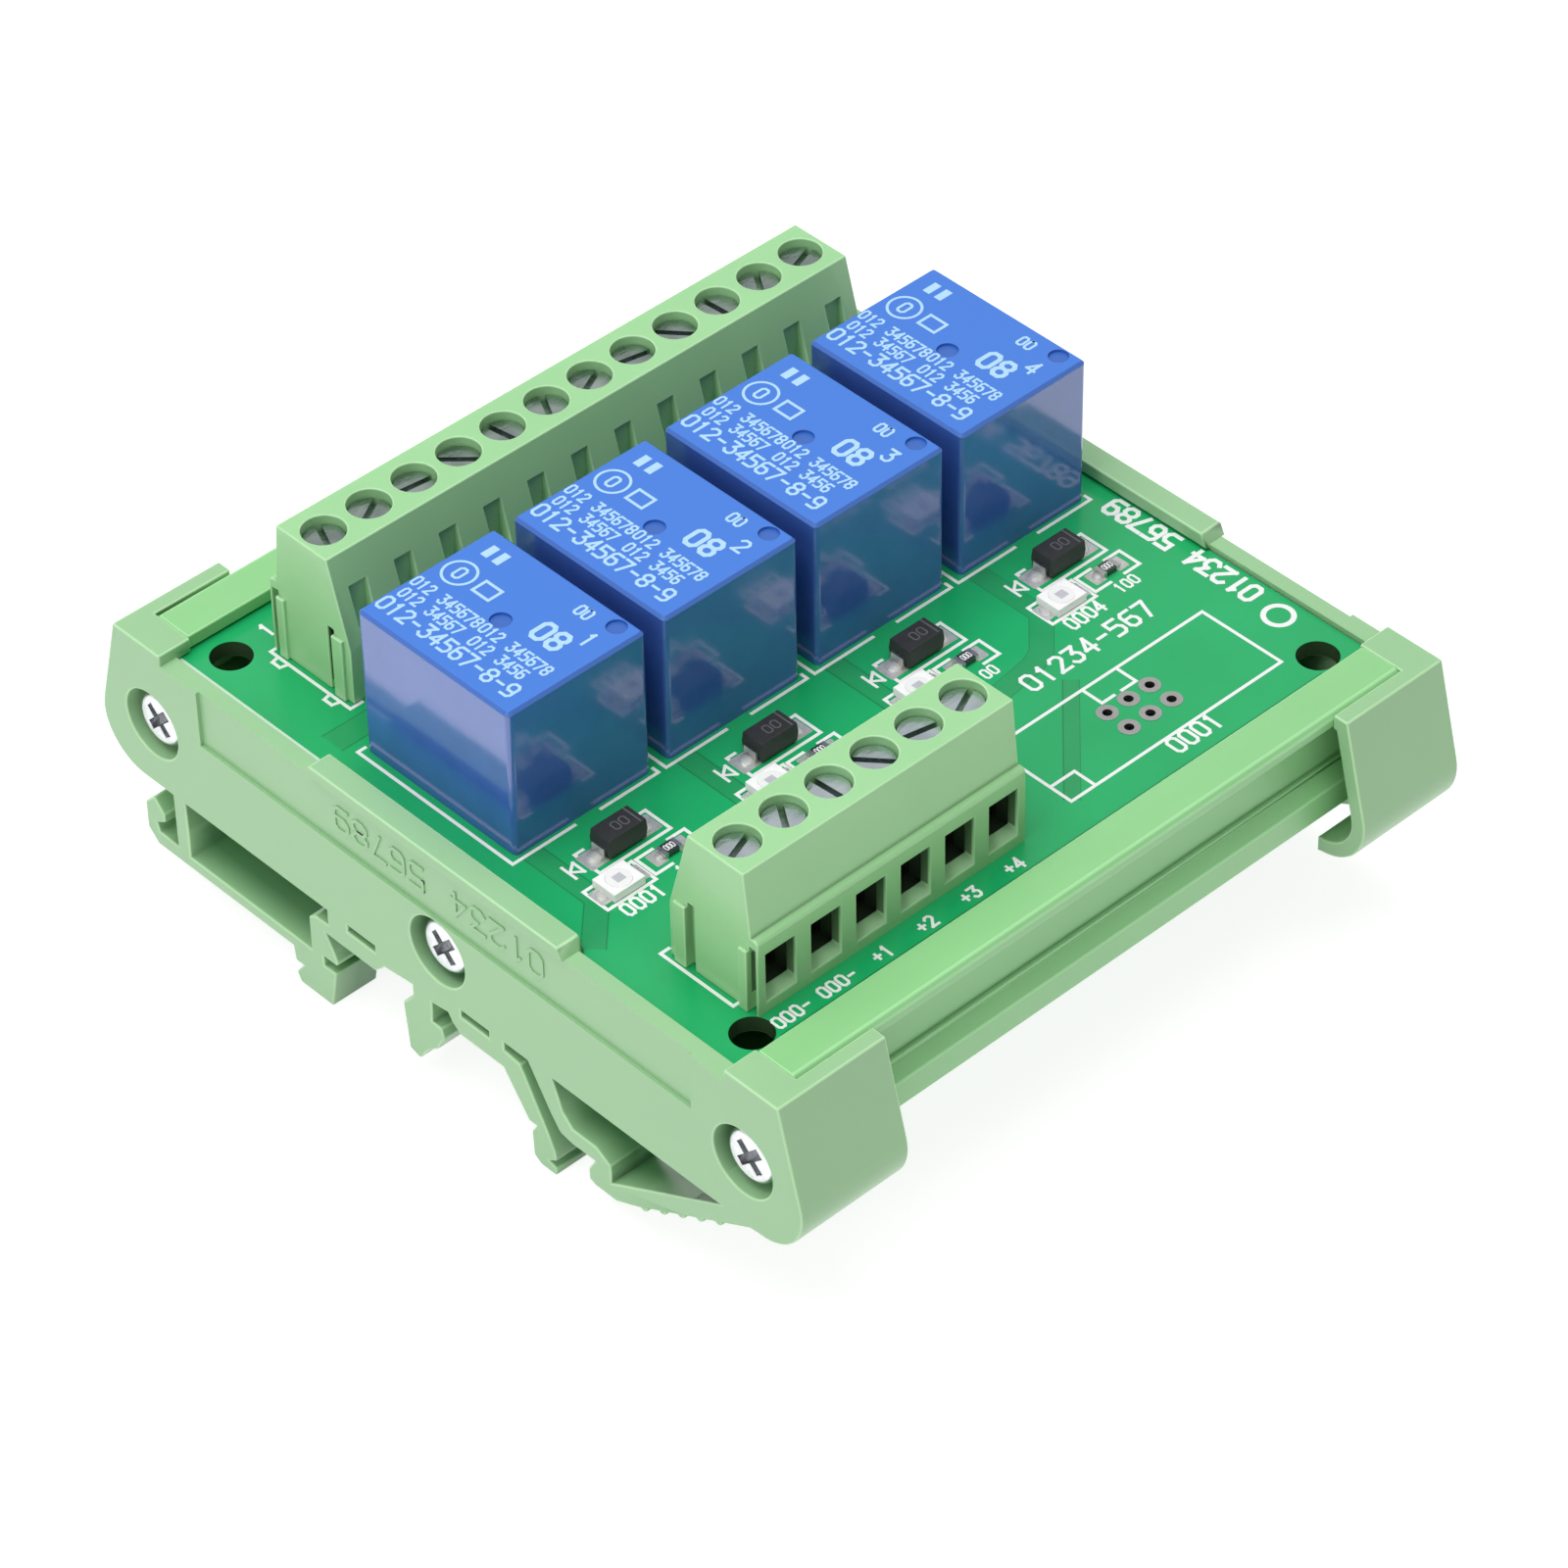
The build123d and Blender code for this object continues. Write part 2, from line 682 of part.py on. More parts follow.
def make_terminal(name, facing, centre_x, entry_y, poles):
    half_length = poles * pole_pitch / 2
    row = terminal_row(facing, centre_x, entry_y)
    section = terminal_section(facing, centre_x, entry_y)

    # moulded housing
    with BuildPart() as housing:
        with BuildSketch(section):
            with BuildLine():
                Polyline(
                    (0, 0),
                    (0, shoulder_z),
                    (entry_step, shoulder_z),
                    (entry_step + entry_lean, block_height),
                    (block_depth - back_lean, block_height),
                    (block_depth, back_step_z),
                    (block_depth, 0),
                    close=True,
                )
            make_face()
        extrude(amount=half_length, both=True)
        shoulder = housing.edges().filter_by(Axis.X).sort_by(Axis.Y)
        shoulder = shoulder if facing < 0 else shoulder[::-1]
        fillet(shoulder[0:2].sort_by(Axis.Z)[-1], shoulder_radius)
        # wire windows, with a sill that slopes down to the face
        with BuildSketch(terminal_front(facing, centre_x, entry_y, 0)):
            with Locations((0, (window_low + window_high) / 2)):
                with GridLocations(pole_pitch, 1, poles, 1):
                    Rectangle(window_width, window_high - window_low)
        extrude(amount=-window_wall, mode=Mode.SUBTRACT)
        for n in range(poles):
            with BuildSketch(section.offset((n - (poles - 1) / 2) * pole_pitch)):
                with BuildLine():
                    Polyline(
                        (0, window_low - sill_drop),
                        (0, window_low),
                        (window_wall, window_low),
                        close=True,
                    )
                make_face()
            extrude(amount=window_width / 2, both=True, mode=Mode.SUBTRACT)
        # cavities that the clamps move in
        with BuildSketch(terminal_front(facing, centre_x, entry_y, window_wall)):
            with Locations((0, (cavity_low + cavity_high) / 2)):
                with GridLocations(pole_pitch, 1, poles, 1):
                    Rectangle(cavity_width, cavity_high - cavity_low)
        extrude(amount=-(cavity_back - window_wall), mode=Mode.SUBTRACT)
        # screw wells and shank holes
        with BuildSketch(row.offset(screw_seat_z)):
            with Locations((0, screw_from_entry)):
                with GridLocations(pole_pitch, 1, poles, 1):
                    Circle(screw_well_radius)
        extrude(amount=block_height - screw_seat_z, mode=Mode.SUBTRACT)
        with BuildSketch(row.offset(cavity_high)):
            with Locations((0, screw_from_entry)):
                with GridLocations(pole_pitch, 1, poles, 1):
                    Circle(shank_hole_radius)
        extrude(amount=screw_seat_z - cavity_high, mode=Mode.SUBTRACT)
        # slots for the solder legs
        leg_slot = leg_from_entry + bar_thick + slot_play - cavity_back
        with BuildSketch(row):
            with Locations((0, cavity_back + leg_slot / 2)):
                with GridLocations(pole_pitch, 1, poles, 1):
                    Rectangle(bar_width + 2 * slot_play, leg_slot)
        extrude(amount=bar_low + bar_thick + slot_play, mode=Mode.SUBTRACT)
        # recesses in the sloping back, one to a pole
        with BuildSketch(terminal_front(facing, centre_x, entry_y, back_slot_floor)):
            with Locations((0, (back_slot_low + back_slot_high) / 2)):
                with GridLocations(pole_pitch, 1, poles, 1):
                    Rectangle(back_slot_width, back_slot_high - back_slot_low)
        extrude(amount=-(block_depth - back_slot_floor), mode=Mode.SUBTRACT)
        # keying ribs on one end and matching grooves on both
        groove_places = ((front_groove_y, front_rib_width), (back_groove_y, back_rib_width))
        for groove_y, rib_width in groove_places:
            with BuildSketch(row):
                with Locations((0, groove_y + groove_width / 2)):
                    with GridLocations(2 * half_length, 1, 2, 1):
                        Rectangle(2 * end_groove_depth, groove_width)
            extrude(amount=end_groove_height, mode=Mode.SUBTRACT)
            with BuildSketch(row):
                with Locations((0, groove_y + groove_width + rib_width / 2)):
                    with GridLocations(2 * half_length, 1, 2, 1):
                        Rectangle(2 * end_rib_reach, rib_width)
            extrude(amount=end_rib_height)
    save(housing, f"{name}_terminal_housing")

    # rising clamps
    with BuildPart() as clamps:
        clamp_front = screw_from_entry - clamp_depth / 2
        clamp_mid_z = (clamp_low + clamp_high) / 2
        with BuildSketch(terminal_front(facing, centre_x, entry_y, clamp_front)):
            with Locations((0, clamp_mid_z)):
                with GridLocations(pole_pitch, 1, poles, 1):
                    Rectangle(clamp_width, clamp_high - clamp_low)
            clear_high = clamp_high - clamp_nut
            clear_low = clamp_low + clamp_wall
            with Locations((0, (clear_high + clear_low) / 2)):
                with GridLocations(pole_pitch, 1, poles, 1):
                    Rectangle(clamp_width - 2 * clamp_wall, clear_high - clear_low, mode=Mode.SUBTRACT)
        extrude(amount=-clamp_depth)
        with BuildSketch(row.offset(clamp_high)):
            with Locations((0, screw_from_entry)):
                with GridLocations(pole_pitch, 1, poles, 1):
                    Circle(pole_screw_radius + clamp_screw_play)
        extrude(amount=-clamp_nut, mode=Mode.SUBTRACT)
    save(clamps, f"{name}_terminal_clamps")

    # clamp screws, left at different turns
    with BuildPart() as screws:
        screw_points = [((n - (poles - 1) / 2) * pole_pitch, screw_from_entry) for n in range(poles)]
        with BuildSketch(row.offset(screw_seat_z)):
            with Locations(*screw_points):
                Circle(pole_screw_head_radius)
        extrude(amount=pole_screw_head_height)
        with BuildSketch(row.offset(screw_seat_z)):
            with Locations(*screw_points):
                Circle(pole_screw_radius)
        extrude(amount=-(screw_seat_z - bar_low - bar_thick - slot_play))
        with BuildSketch(row.offset(screw_seat_z + pole_screw_head_height)):
            for n, point in enumerate(screw_points):
                with Locations(point):
                    Rectangle(
                        2 * pole_screw_head_radius + pole_screw_slot_overrun,
                        pole_screw_slot_width,
                        rotation=pole_screw_first_turn + n * pole_screw_turn,
                    )
        extrude(amount=-pole_screw_slot_depth, mode=Mode.SUBTRACT)
    save(screws, f"{name}_terminal_screws")

    # current bars, bent down into solder legs
    with BuildPart() as pins:
        bar_front = screw_from_entry - clamp_depth / 2
        bar_back = leg_from_entry + bar_thick
        with BuildSketch(row.offset(bar_low)):
            with Locations((0, (bar_front + bar_back) / 2)):
                with GridLocations(pole_pitch, 1, poles, 1):
                    Rectangle(bar_width, bar_back - bar_front)
        extrude(amount=bar_thick)
        with BuildSketch(row):
            with Locations((0, leg_from_entry + bar_thick / 2)):
                with GridLocations(pole_pitch, 1, poles, 1):
                    Rectangle(bar_width, bar_thick)
        extrude(amount=bar_low)
        with BuildSketch(row):
            with Locations((0, leg_from_entry + bar_thick / 2)):
                with GridLocations(pole_pitch, 1, poles, 1):
                    Rectangle(leg_width, bar_thick)
        extrude(amount=-(board_top - lead_end))
    save(pins, f"{name}_terminal_pins")


make_terminal("output", 1, output_centre_x, output_entry_y, output_poles)
make_terminal("input", -1, input_centre_x, input_entry_y, input_poles)

# Circuit board with every hole that a lead passes
leg_row_from_entry = leg_from_entry + bar_thick / 2
leg_hole_radius = ((leg_width / 2) ** 2 + (bar_thick / 2) ** 2) ** 0.5 + lead_play / 2
pin_hole_radius = ((pin_width / 2) ** 2 + (pin_thick / 2) ** 2) ** 0.5 + lead_play / 2
coil_hole_radius = (2 * (coil_pin_side / 2) ** 2) ** 0.5 + lead_play / 2
relay_pins = [(contact_pin_x, contact_pin_y), (-contact_pin_x, contact_pin_y), (0, com_pin_y)]
coil_pins = [(coil_pin_x, coil_pin_y), (-coil_pin_x, coil_pin_y)]

with BuildPart() as circuit_board:
    with BuildSketch(Plane.XY.offset(board_under)):
        Rectangle(board_length, board_width)
        with GridLocations(mount_pitch_x, mount_pitch_y, 2, 2):
            Circle(mount_hole_d / 2, mode=Mode.SUBTRACT)
        with Locations((output_centre_x, output_entry_y - leg_row_from_entry)):
            with GridLocations(pole_pitch, 1, output_poles, 1):
                Circle(leg_hole_radius, mode=Mode.SUBTRACT)
        with Locations((input_centre_x, input_entry_y + leg_row_from_entry)):
            with GridLocations(pole_pitch, 1, input_poles, 1):
                Circle(leg_hole_radius, mode=Mode.SUBTRACT)
        with Locations((header_x, header_y)):
            with GridLocations(header_pitch, header_pitch, header_columns, header_rows):
                Circle(plating_bore_radius + plating_wall, mode=Mode.SUBTRACT)
        for x in relay_places:
            with Locations(*[(x + px, relay_y + py) for px, py in relay_pins]):
                Circle(pin_hole_radius, mode=Mode.SUBTRACT)
            with Locations(*[(x + px, relay_y + py) for px, py in coil_pins]):
                Circle(coil_hole_radius, mode=Mode.SUBTRACT)
    extrude(amount=board_thick)
save(circuit_board, "circuit_board")

# Plated holes of the header that isn't fitted: a barrel with a pad on each face
with BuildPart() as header_plating:
    with BuildSketch(Plane.XY.offset(board_under)):
        with Locations((header_x, header_y)):
            with GridLocations(header_pitch, header_pitch, header_columns, header_rows):
                Circle(plating_bore_radius + plating_wall)
    extrude(amount=board_thick)
    for pad_z in (board_top, board_under - plating_pad_thick):
        with BuildSketch(Plane.XY.offset(pad_z)):
            with Locations((header_x, header_y)):
                with GridLocations(header_pitch, header_pitch, header_columns, header_rows):
                    Circle(plating_pad_radius)
        extrude(amount=plating_pad_thick)
    with BuildSketch(Plane.XY.offset(board_under - plating_pad_thick)):
        with Locations((header_x, header_y)):
            with GridLocations(header_pitch, header_pitch, header_columns, header_rows):
                Circle(plating_bore_radius)
    extrude(amount=board_thick + 2 * plating_pad_thick, mode=Mode.SUBTRACT)
save(header_plating, "header_plating")


def make_relay(number, x):
    seat = relay_seat(x)
    section = relay_section(x)
    inner_width = relay_width - 2 * case_wall
    inner_length = relay_length - 2 * case_wall

    # case: a five-sided cover with two moulding dimples
    with BuildPart() as case:
        with BuildSketch(seat):
            RectangleRounded(relay_width, relay_length, case_corner_radius)
        extrude(amount=relay_height)
        chamfer(case.edges().group_by(Axis.Z)[-1], case_bevel)
        with BuildSketch(seat):
            Rectangle(inner_width, inner_length)
        extrude(amount=relay_height - case_top, mode=Mode.SUBTRACT)
        with BuildSketch(seat.offset(relay_height)):
            Circle(centre_dimple_radius)
            corner_x = relay_width / 2 - corner_dimple_side_inset
            with Locations((corner_x, corner_dimple_front_inset - relay_length / 2)):
                Circle(corner_dimple_radius)
        extrude(amount=-dimple_depth, mode=Mode.SUBTRACT)
    save(case, f"relay_{number}_case")

    # base that closes the case and holds every lead
    with BuildPart() as base:
        with BuildSketch(seat.offset(base_low)):
            Rectangle(inner_width - 2 * case_fit, inner_length - 2 * case_fit)
            with Locations(*relay_pins):
                Rectangle(pin_width + lead_play, pin_thick + lead_play, mode=Mode.SUBTRACT)
            with Locations(*coil_pins):
                Rectangle(coil_pin_side + lead_play, coil_pin_side + lead_play, mode=Mode.SUBTRACT)
        extrude(amount=base_thick)
    save(base, f"relay_{number}_base")

    # bobbin with its winding
    with BuildPart() as bobbin:
        with BuildSketch(seat.offset(bobbin_low)):
            with Locations((0, coil_y)):
                Circle(bobbin_hub_radius)
        extrude(amount=bobbin_high - bobbin_low)
        for flange_z in (bobbin_low, bobbin_high - bobbin_flange):
            with BuildSketch(seat.offset(flange_z)):
                with Locations((0, coil_y)):
                    Rectangle(bobbin_width, bobbin_depth)
            extrude(amount=bobbin_flange)
        with BuildSketch(seat.offset(bobbin_low)):
            with Locations((0, coil_y)):
                Circle(core_radius + core_fit)
        extrude(amount=bobbin_high - bobbin_low, mode=Mode.SUBTRACT)
    save(bobbin, f"relay_{number}_bobbin")

    with BuildPart() as winding:
        with BuildSketch(seat.offset(bobbin_low + bobbin_flange)):
            with Locations((0, coil_y)):
                Circle(coil_radius)
                Circle(bobbin_hub_radius, mode=Mode.SUBTRACT)
        extrude(amount=bobbin_high - bobbin_low - 2 * bobbin_flange)
    save(winding, f"relay_{number}_winding")

    # iron frame: an angle with the core riveted into its foot
    with BuildPart() as magnet_frame:
        with BuildSketch(section):
            with BuildLine():
                Polyline(
                    (frame_front_y, base_top),
                    (frame_back_y, base_top),
                    (frame_back_y, frame_top),
                    (frame_back_y + frame_thick, frame_top),
                    (frame_back_y + frame_thick, base_top + frame_thick),
                    (frame_front_y, base_top + frame_thick),
                    close=True,
                )
            make_face()
        extrude(amount=frame_width / 2, both=True)
        with BuildSketch(seat.offset(base_top)):
            with Locations((0, coil_y)):
                Circle(core_radius)
        extrude(amount=pole_face_top - base_top)
        with BuildSketch(seat.offset(bobbin_high)):
            with Locations((0, coil_y)):
                Circle(pole_face_radius)
        extrude(amount=pole_face_top - bobbin_high)
    save(magnet_frame, f"relay_{number}_magnet_frame")

    # armature that rocks on the frame's top edge
    with BuildPart() as armature:
        with BuildSketch(seat.offset(armature_low)):
            with Locations((0, (frame_back_y + armature_front_y) / 2)):
                Rectangle(frame_width, armature_front_y - frame_back_y)
        extrude(amount=armature_thick)
        outer_corners = armature.edges().filter_by(Axis.Z).sort_by(Axis.Y)[2:4]
        chamfer(outer_corners, armature_corner)
    save(armature, f"relay_{number}_armature")

    # contact leaf riveted on the armature, with a silver contact on both sides of its end
    leaf_low = armature_low + armature_thick
    with BuildPart() as contact_leaf:
        with BuildSketch(seat.offset(leaf_low)):
            with Locations((0, (leaf_back_y + leaf_front_y) / 2)):
                Rectangle(leaf_width, leaf_front_y - leaf_back_y)
        extrude(amount=leaf_thick)
        with BuildSketch(seat.offset(leaf_low - contact_height)):
            with Locations((0, contact_pin_y)):
                Circle(contact_radius)
        extrude(amount=2 * contact_height + leaf_thick)
        with BuildSketch(seat.offset(leaf_low + leaf_thick)):
            with Locations((0, coil_y)):
                with GridLocations(1, rivet_pitch, 1, 2):
                    Circle(rivet_radius)
        extrude(amount=rivet_height)
    save(contact_leaf, f"relay_{number}_contact_leaf")

    # fixed terminals: rest contact above the leaf, working contact below it, common at the back
    rest_low = leaf_low + leaf_thick + contact_height + rest_contact_gap
    work_high = leaf_low - contact_height - contact_gap
    with BuildPart() as terminals:
        for side, arm_low, contact_low in (
            (1, rest_low + contact_height, rest_low),
            (-1, work_high - contact_height - terminal_thick, work_high - contact_height),
        ):
            arm_inner_x = -side * contact_radius
            arm_outer_x = side * (contact_pin_x + pin_width / 2)
            with BuildSketch(seat.offset(arm_low)):
                with Locations(((arm_inner_x + arm_outer_x) / 2, contact_pin_y)):
                    Rectangle(abs(arm_outer_x - arm_inner_x), 2 * contact_radius)
            extrude(amount=terminal_thick)
            with BuildSketch(seat.offset(contact_low)):
                with Locations((0, contact_pin_y)):
                    Circle(contact_radius)
            extrude(amount=contact_height)
            with BuildSketch(seat.offset(base_top)):
                with Locations((side * (contact_pin_x + pin_width / 2 - terminal_width / 2), contact_pin_y)):
                    Rectangle(terminal_width, terminal_thick)
            extrude(amount=arm_low - base_top)
        with BuildSketch(seat.offset(base_top)):
            with Locations((0, frame_back_y - terminal_thick / 2)):
                Rectangle(common_width, terminal_thick)
        extrude(amount=frame_top - base_top)
        with BuildSketch(seat.offset(lead_end - board_top)):
            with Locations(*relay_pins):
                Rectangle(pin_width, pin_thick)
        extrude(amount=base_top + board_top - lead_end)
    save(terminals, f"relay_{number}_terminals")

    with BuildPart() as coil_leads:
        with BuildSketch(seat.offset(lead_end - board_top)):
            with Locations(*coil_pins):
                Rectangle(coil_pin_side, coil_pin_side)
        extrude(amount=bobbin_low + bobbin_flange / 2 + board_top - lead_end)
    save(coil_leads, f"relay_{number}_coil_leads")


for number, x in enumerate(relay_places, start=1):
    make_relay(number, x)

# Surface-mounted parts, one of each to a relay
diode_places = [(x + diode_x, diode_y) for x in relay_places]
led_places = [(x + led_x, led_y) for x in relay_places]
resistor_places = [(x + resistor_x, resistor_y) for x in relay_places]

with BuildPart() as diode_bodies:
    waist = (diode_stand + diode_height) / 2
    with BuildSketch(Plane.XY.offset(board_top + waist)):
        with Locations(*diode_places):
            Rectangle(diode_length, diode_width)
    extrude(amount=diode_height - waist, taper=diode_taper)
    with BuildSketch(Plane.XY.offset(board_top + waist)):
        with Locations(*diode_places):
            Rectangle(diode_length, diode_width)
    extrude(amount=-(waist - diode_stand), taper=diode_taper)
save(diode_bodies, "diode_bodies")

with BuildPart() as diode_leads:
    foot_centre_x = diode_length / 2 + diode_lead_thick - diode_foot_length / 2
    riser_centre_x = diode_length / 2 + diode_lead_thick / 2
    for x, y in diode_places:
        for side in (-1, 1):
            with BuildSketch(Plane.XY.offset(board_top)):
                with Locations((x + side * foot_centre_x, y)):
                    Rectangle(diode_foot_length, diode_lead_width)
            extrude(amount=diode_stand)
            with BuildSketch(Plane.XY.offset(board_top)):
                with Locations((x + side * riser_centre_x, y)):
                    Rectangle(diode_lead_thick, diode_lead_width)
            extrude(amount=diode_lead_height)
save(diode_leads, "diode_leads")

with BuildPart() as led_bodies:
    with BuildSketch(Plane.XY.offset(board_top)):
        with Locations(*led_places):
            Rectangle(led_length, led_width)
    extrude(amount=led_height)
    with BuildSketch(Plane.XY.offset(board_top + led_height)):
        with Locations(*led_places):
            Circle(led_well_radius)
    extrude(amount=-led_well_depth, mode=Mode.SUBTRACT)
save(led_bodies, "led_bodies")

with BuildPart() as led_lenses:
    with BuildSketch(Plane.XY.offset(board_top + led_height)):
        with Locations(*led_places):
            Circle(led_well_radius)
    extrude(amount=-led_well_depth)
save(led_lenses, "led_lenses")

with BuildPart() as resistor_bodies:
    with BuildSketch(Plane.XY.offset(board_top)):
        with Locations(*resistor_places):
            Rectangle(resistor_length - 2 * resistor_cap_length, resistor_width)
    extrude(amount=resistor_height)
save(resistor_bodies, "resistor_bodies")

with BuildPart() as resistor_caps:
    with BuildSketch(Plane.XY.offset(board_top)):
        with Locations(*resistor_places):
            with GridLocations(resistor_length - resistor_cap_length, 1, 2, 1):
                Rectangle(resistor_cap_length, resistor_width)
    extrude(amount=resistor_height)
save(resistor_caps, "resistor_caps")
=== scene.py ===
import json
import math

import bmesh
import bpy
from mathutils import Matrix, Vector


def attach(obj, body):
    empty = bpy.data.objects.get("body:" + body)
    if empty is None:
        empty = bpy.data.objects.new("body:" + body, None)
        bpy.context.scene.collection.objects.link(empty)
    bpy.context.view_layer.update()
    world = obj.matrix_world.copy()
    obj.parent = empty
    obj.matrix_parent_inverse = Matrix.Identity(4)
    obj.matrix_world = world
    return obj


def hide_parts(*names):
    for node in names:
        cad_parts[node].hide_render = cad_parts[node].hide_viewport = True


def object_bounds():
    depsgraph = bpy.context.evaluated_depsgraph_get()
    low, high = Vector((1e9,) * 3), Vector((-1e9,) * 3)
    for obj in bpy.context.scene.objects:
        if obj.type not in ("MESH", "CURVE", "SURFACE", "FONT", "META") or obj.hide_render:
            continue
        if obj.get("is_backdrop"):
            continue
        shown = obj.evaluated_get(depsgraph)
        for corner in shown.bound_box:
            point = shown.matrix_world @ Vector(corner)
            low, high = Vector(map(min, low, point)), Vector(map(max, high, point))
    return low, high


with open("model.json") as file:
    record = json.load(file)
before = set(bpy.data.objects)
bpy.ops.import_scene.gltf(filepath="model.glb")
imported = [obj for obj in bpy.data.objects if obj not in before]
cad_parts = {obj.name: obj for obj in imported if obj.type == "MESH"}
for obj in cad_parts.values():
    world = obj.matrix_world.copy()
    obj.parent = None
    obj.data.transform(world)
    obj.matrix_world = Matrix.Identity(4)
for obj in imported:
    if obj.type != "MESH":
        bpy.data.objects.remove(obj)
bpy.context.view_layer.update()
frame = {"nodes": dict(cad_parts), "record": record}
print("frame loaded:", len(frame["nodes"]), "nodes")

mm = 0.001
boardTop = 25.8  # upper face of the board, in millimetres as every length below


# a shader socket that takes part in plain sums
class Channel:
    def __init__(self, tree, socket):
        self.tree = tree
        self.socket = socket

    def sum(self, operation, first, second, clamp=False):
        made = self.tree.nodes.new("ShaderNodeMath")
        made.operation = operation
        made.use_clamp = clamp
        for place, value in enumerate((first, second)):
            if isinstance(value, Channel):
                self.tree.links.new(value.socket, made.inputs[place])
            else:
                made.inputs[place].default_value = value
        return Channel(self.tree, made.outputs[0])

    def __add__(self, other):
        return self.sum("ADD", self, other)

    def __radd__(self, other):
        return self.sum("ADD", other, self)

    def __sub__(self, other):
        return self.sum("SUBTRACT", self, other)

    def __rsub__(self, other):
        return self.sum("SUBTRACT", other, self)

    def __mul__(self, other):
        return self.sum("MULTIPLY", self, other)

    def __rmul__(self, other):
        return self.sum("MULTIPLY", other, self)

    def __gt__(self, other):
        return self.sum("GREATER_THAN", self, other)

    def __lt__(self, other):
        return self.sum("LESS_THAN", self, other)

    def clamped(self):
        return self.sum("ADD", self, 0.0, clamp=True)


# the nodes of a material, or of the world, and the way to add to them
class Finish:
    def __init__(self, owner):
        self.owner = owner
        owner.use_nodes = True
        self.tree = owner.node_tree
        self.tree.nodes.clear()

    def node(self, kind, settings=None, inputs=None, output=0):
        made = self.tree.nodes.new(kind)
        for key, value in (settings or {}).items():
            setattr(made, key, value)
        for key, value in (inputs or {}).items():
            if isinstance(value, Channel):
                self.tree.links.new(value.socket, made.inputs[key])
            else:
                made.inputs[key].default_value = value
        return Channel(self.tree, made.outputs[output]) if made.outputs else None

    def place(self, stretch=(1, 1, 1)):
        coordinates = self.node("ShaderNodeTexCoord", output="Object")
        if stretch == (1, 1, 1):
            return coordinates
        return self.node("ShaderNodeMapping", inputs={"Vector": coordinates, "Scale": stretch})

    # grain in millimetres
    def noise(self, grain, detail=2.0, rough=0.5, stretch=(1, 1, 1)):
        inputs = {"Vector": self.place(stretch), "Scale": 1 / (grain * mm)}
        inputs.update({"Detail": detail, "Roughness": rough})
        return self.node("ShaderNodeTexNoise", inputs=inputs)

    # one inside a box given in millimetres, nought outside it
    def inside(self, low, high):
        share = 1.0
        for n in range(3):
            reach = self.node("ShaderNodeSeparateXYZ", inputs={"Vector": self.place()}, output=n)
            share = share * (reach > low[n] * mm) * (reach < high[n] * mm)
        return share

    def blendColour(self, amount, first, second):
        settings = {"data_type": "RGBA", "blend_type": "MIX"}
        return self.node("ShaderNodeMix", settings, {0: amount, 6: first, 7: second}, output=2)

    # depth in millimetres
    def bump(self, strength, depth, height):
        inputs = {"Strength": strength, "Distance": depth * mm, "Height": height}
        return self.node("ShaderNodeBump", inputs=inputs)

    def mixed(self, amount, first, second):
        return self.node("ShaderNodeMixShader", inputs={0: amount, 1: first, 2: second})

    def finishWith(self, shader, outlet="ShaderNodeOutputMaterial"):
        self.node(outlet, inputs={"Surface": shader})
        return self.owner


def rgb(red, green, blue):
    return (red, green, blue, 1.0)


# the same look between two other colours, with other settings where they're given
def toned(look, dark, light, **other):
    return dict(look, dark=rgb(*dark), light=rgb(*light), **other)


# fine settings that all finishes share: bump heights in millimetres, and how far the gloss wanders
fineLook = {
    "grainDepth": 0.05,
    "coatRough": 0.08,
    "glowTint": (0.3, 1.0, 0.3),
    "glowReach": 0.6,
    "caseSpeck": 0.12,
    "caseSpeckRough": 0.06,
    "platingDepth": 0.03,
    "platingCloudRough": 0.25,
    "platingDragRough": 0.15,
}


# painted shade in the hollows of a foot: the colour deepens with the distance behind its outer face
def deepened(finish, colour, depthShade):
    across = finish.node("ShaderNodeSeparateXYZ", inputs={"Vector": finish.place()})
    outward = finish.node("ShaderNodeMath", {"operation": "ABSOLUTE"}, {0: across})
    depth = ((depthShade["face"] * mm - outward) * (1 / (depthShade["reach"] * mm))).clamped()
    amount = depth * finish.inside(*depthShade["box"]) * depthShade["share"]
    return finish.blendColour(amount, colour, depthShade["colour"])


# moulded plastic: slow colour drift, a fine spark-eroded grain and gloss that wanders a little
def mouldedPlastic(name, look):
    finish = Finish(bpy.data.materials.new(name))
    drift = finish.noise(look["drift"], detail=3.0)
    speck = finish.noise(look["grain"], detail=2.0, rough=0.6)
    colour = finish.blendColour(drift, look["dark"], look["light"])
    # painted shade inside the given boxes
    for low, high, shade in look.get("hollows", ()):
        colour = finish.blendColour(finish.inside(low, high), colour, shade)
    # painted shade that deepens inward from a foot's outer face
    if "depthShade" in look:
        colour = deepened(finish, colour, look["depthShade"])
    rough = look["rough"] + (drift - 0.5) * look["roughSpread"] + (speck - 0.5) * look["roughSpread"]
    settings = {
        "Base Color": colour,
        "Roughness": rough,
        "Normal": finish.bump(look["bump"], fineLook["grainDepth"], speck),
        "IOR": look.get("ior", 1.5),
        "Coat Weight": look.get("coat", 0.0),
        "Coat Roughness": fineLook["coatRough"],
        "Subsurface Weight": look.get("glow", 0.0),
        "Subsurface Radius": fineLook["glowTint"],
        "Subsurface Scale": fineLook["glowReach"] * mm,
    }
    return finish.finishWith(finish.node("ShaderNodeBsdfPrincipled", inputs=settings))


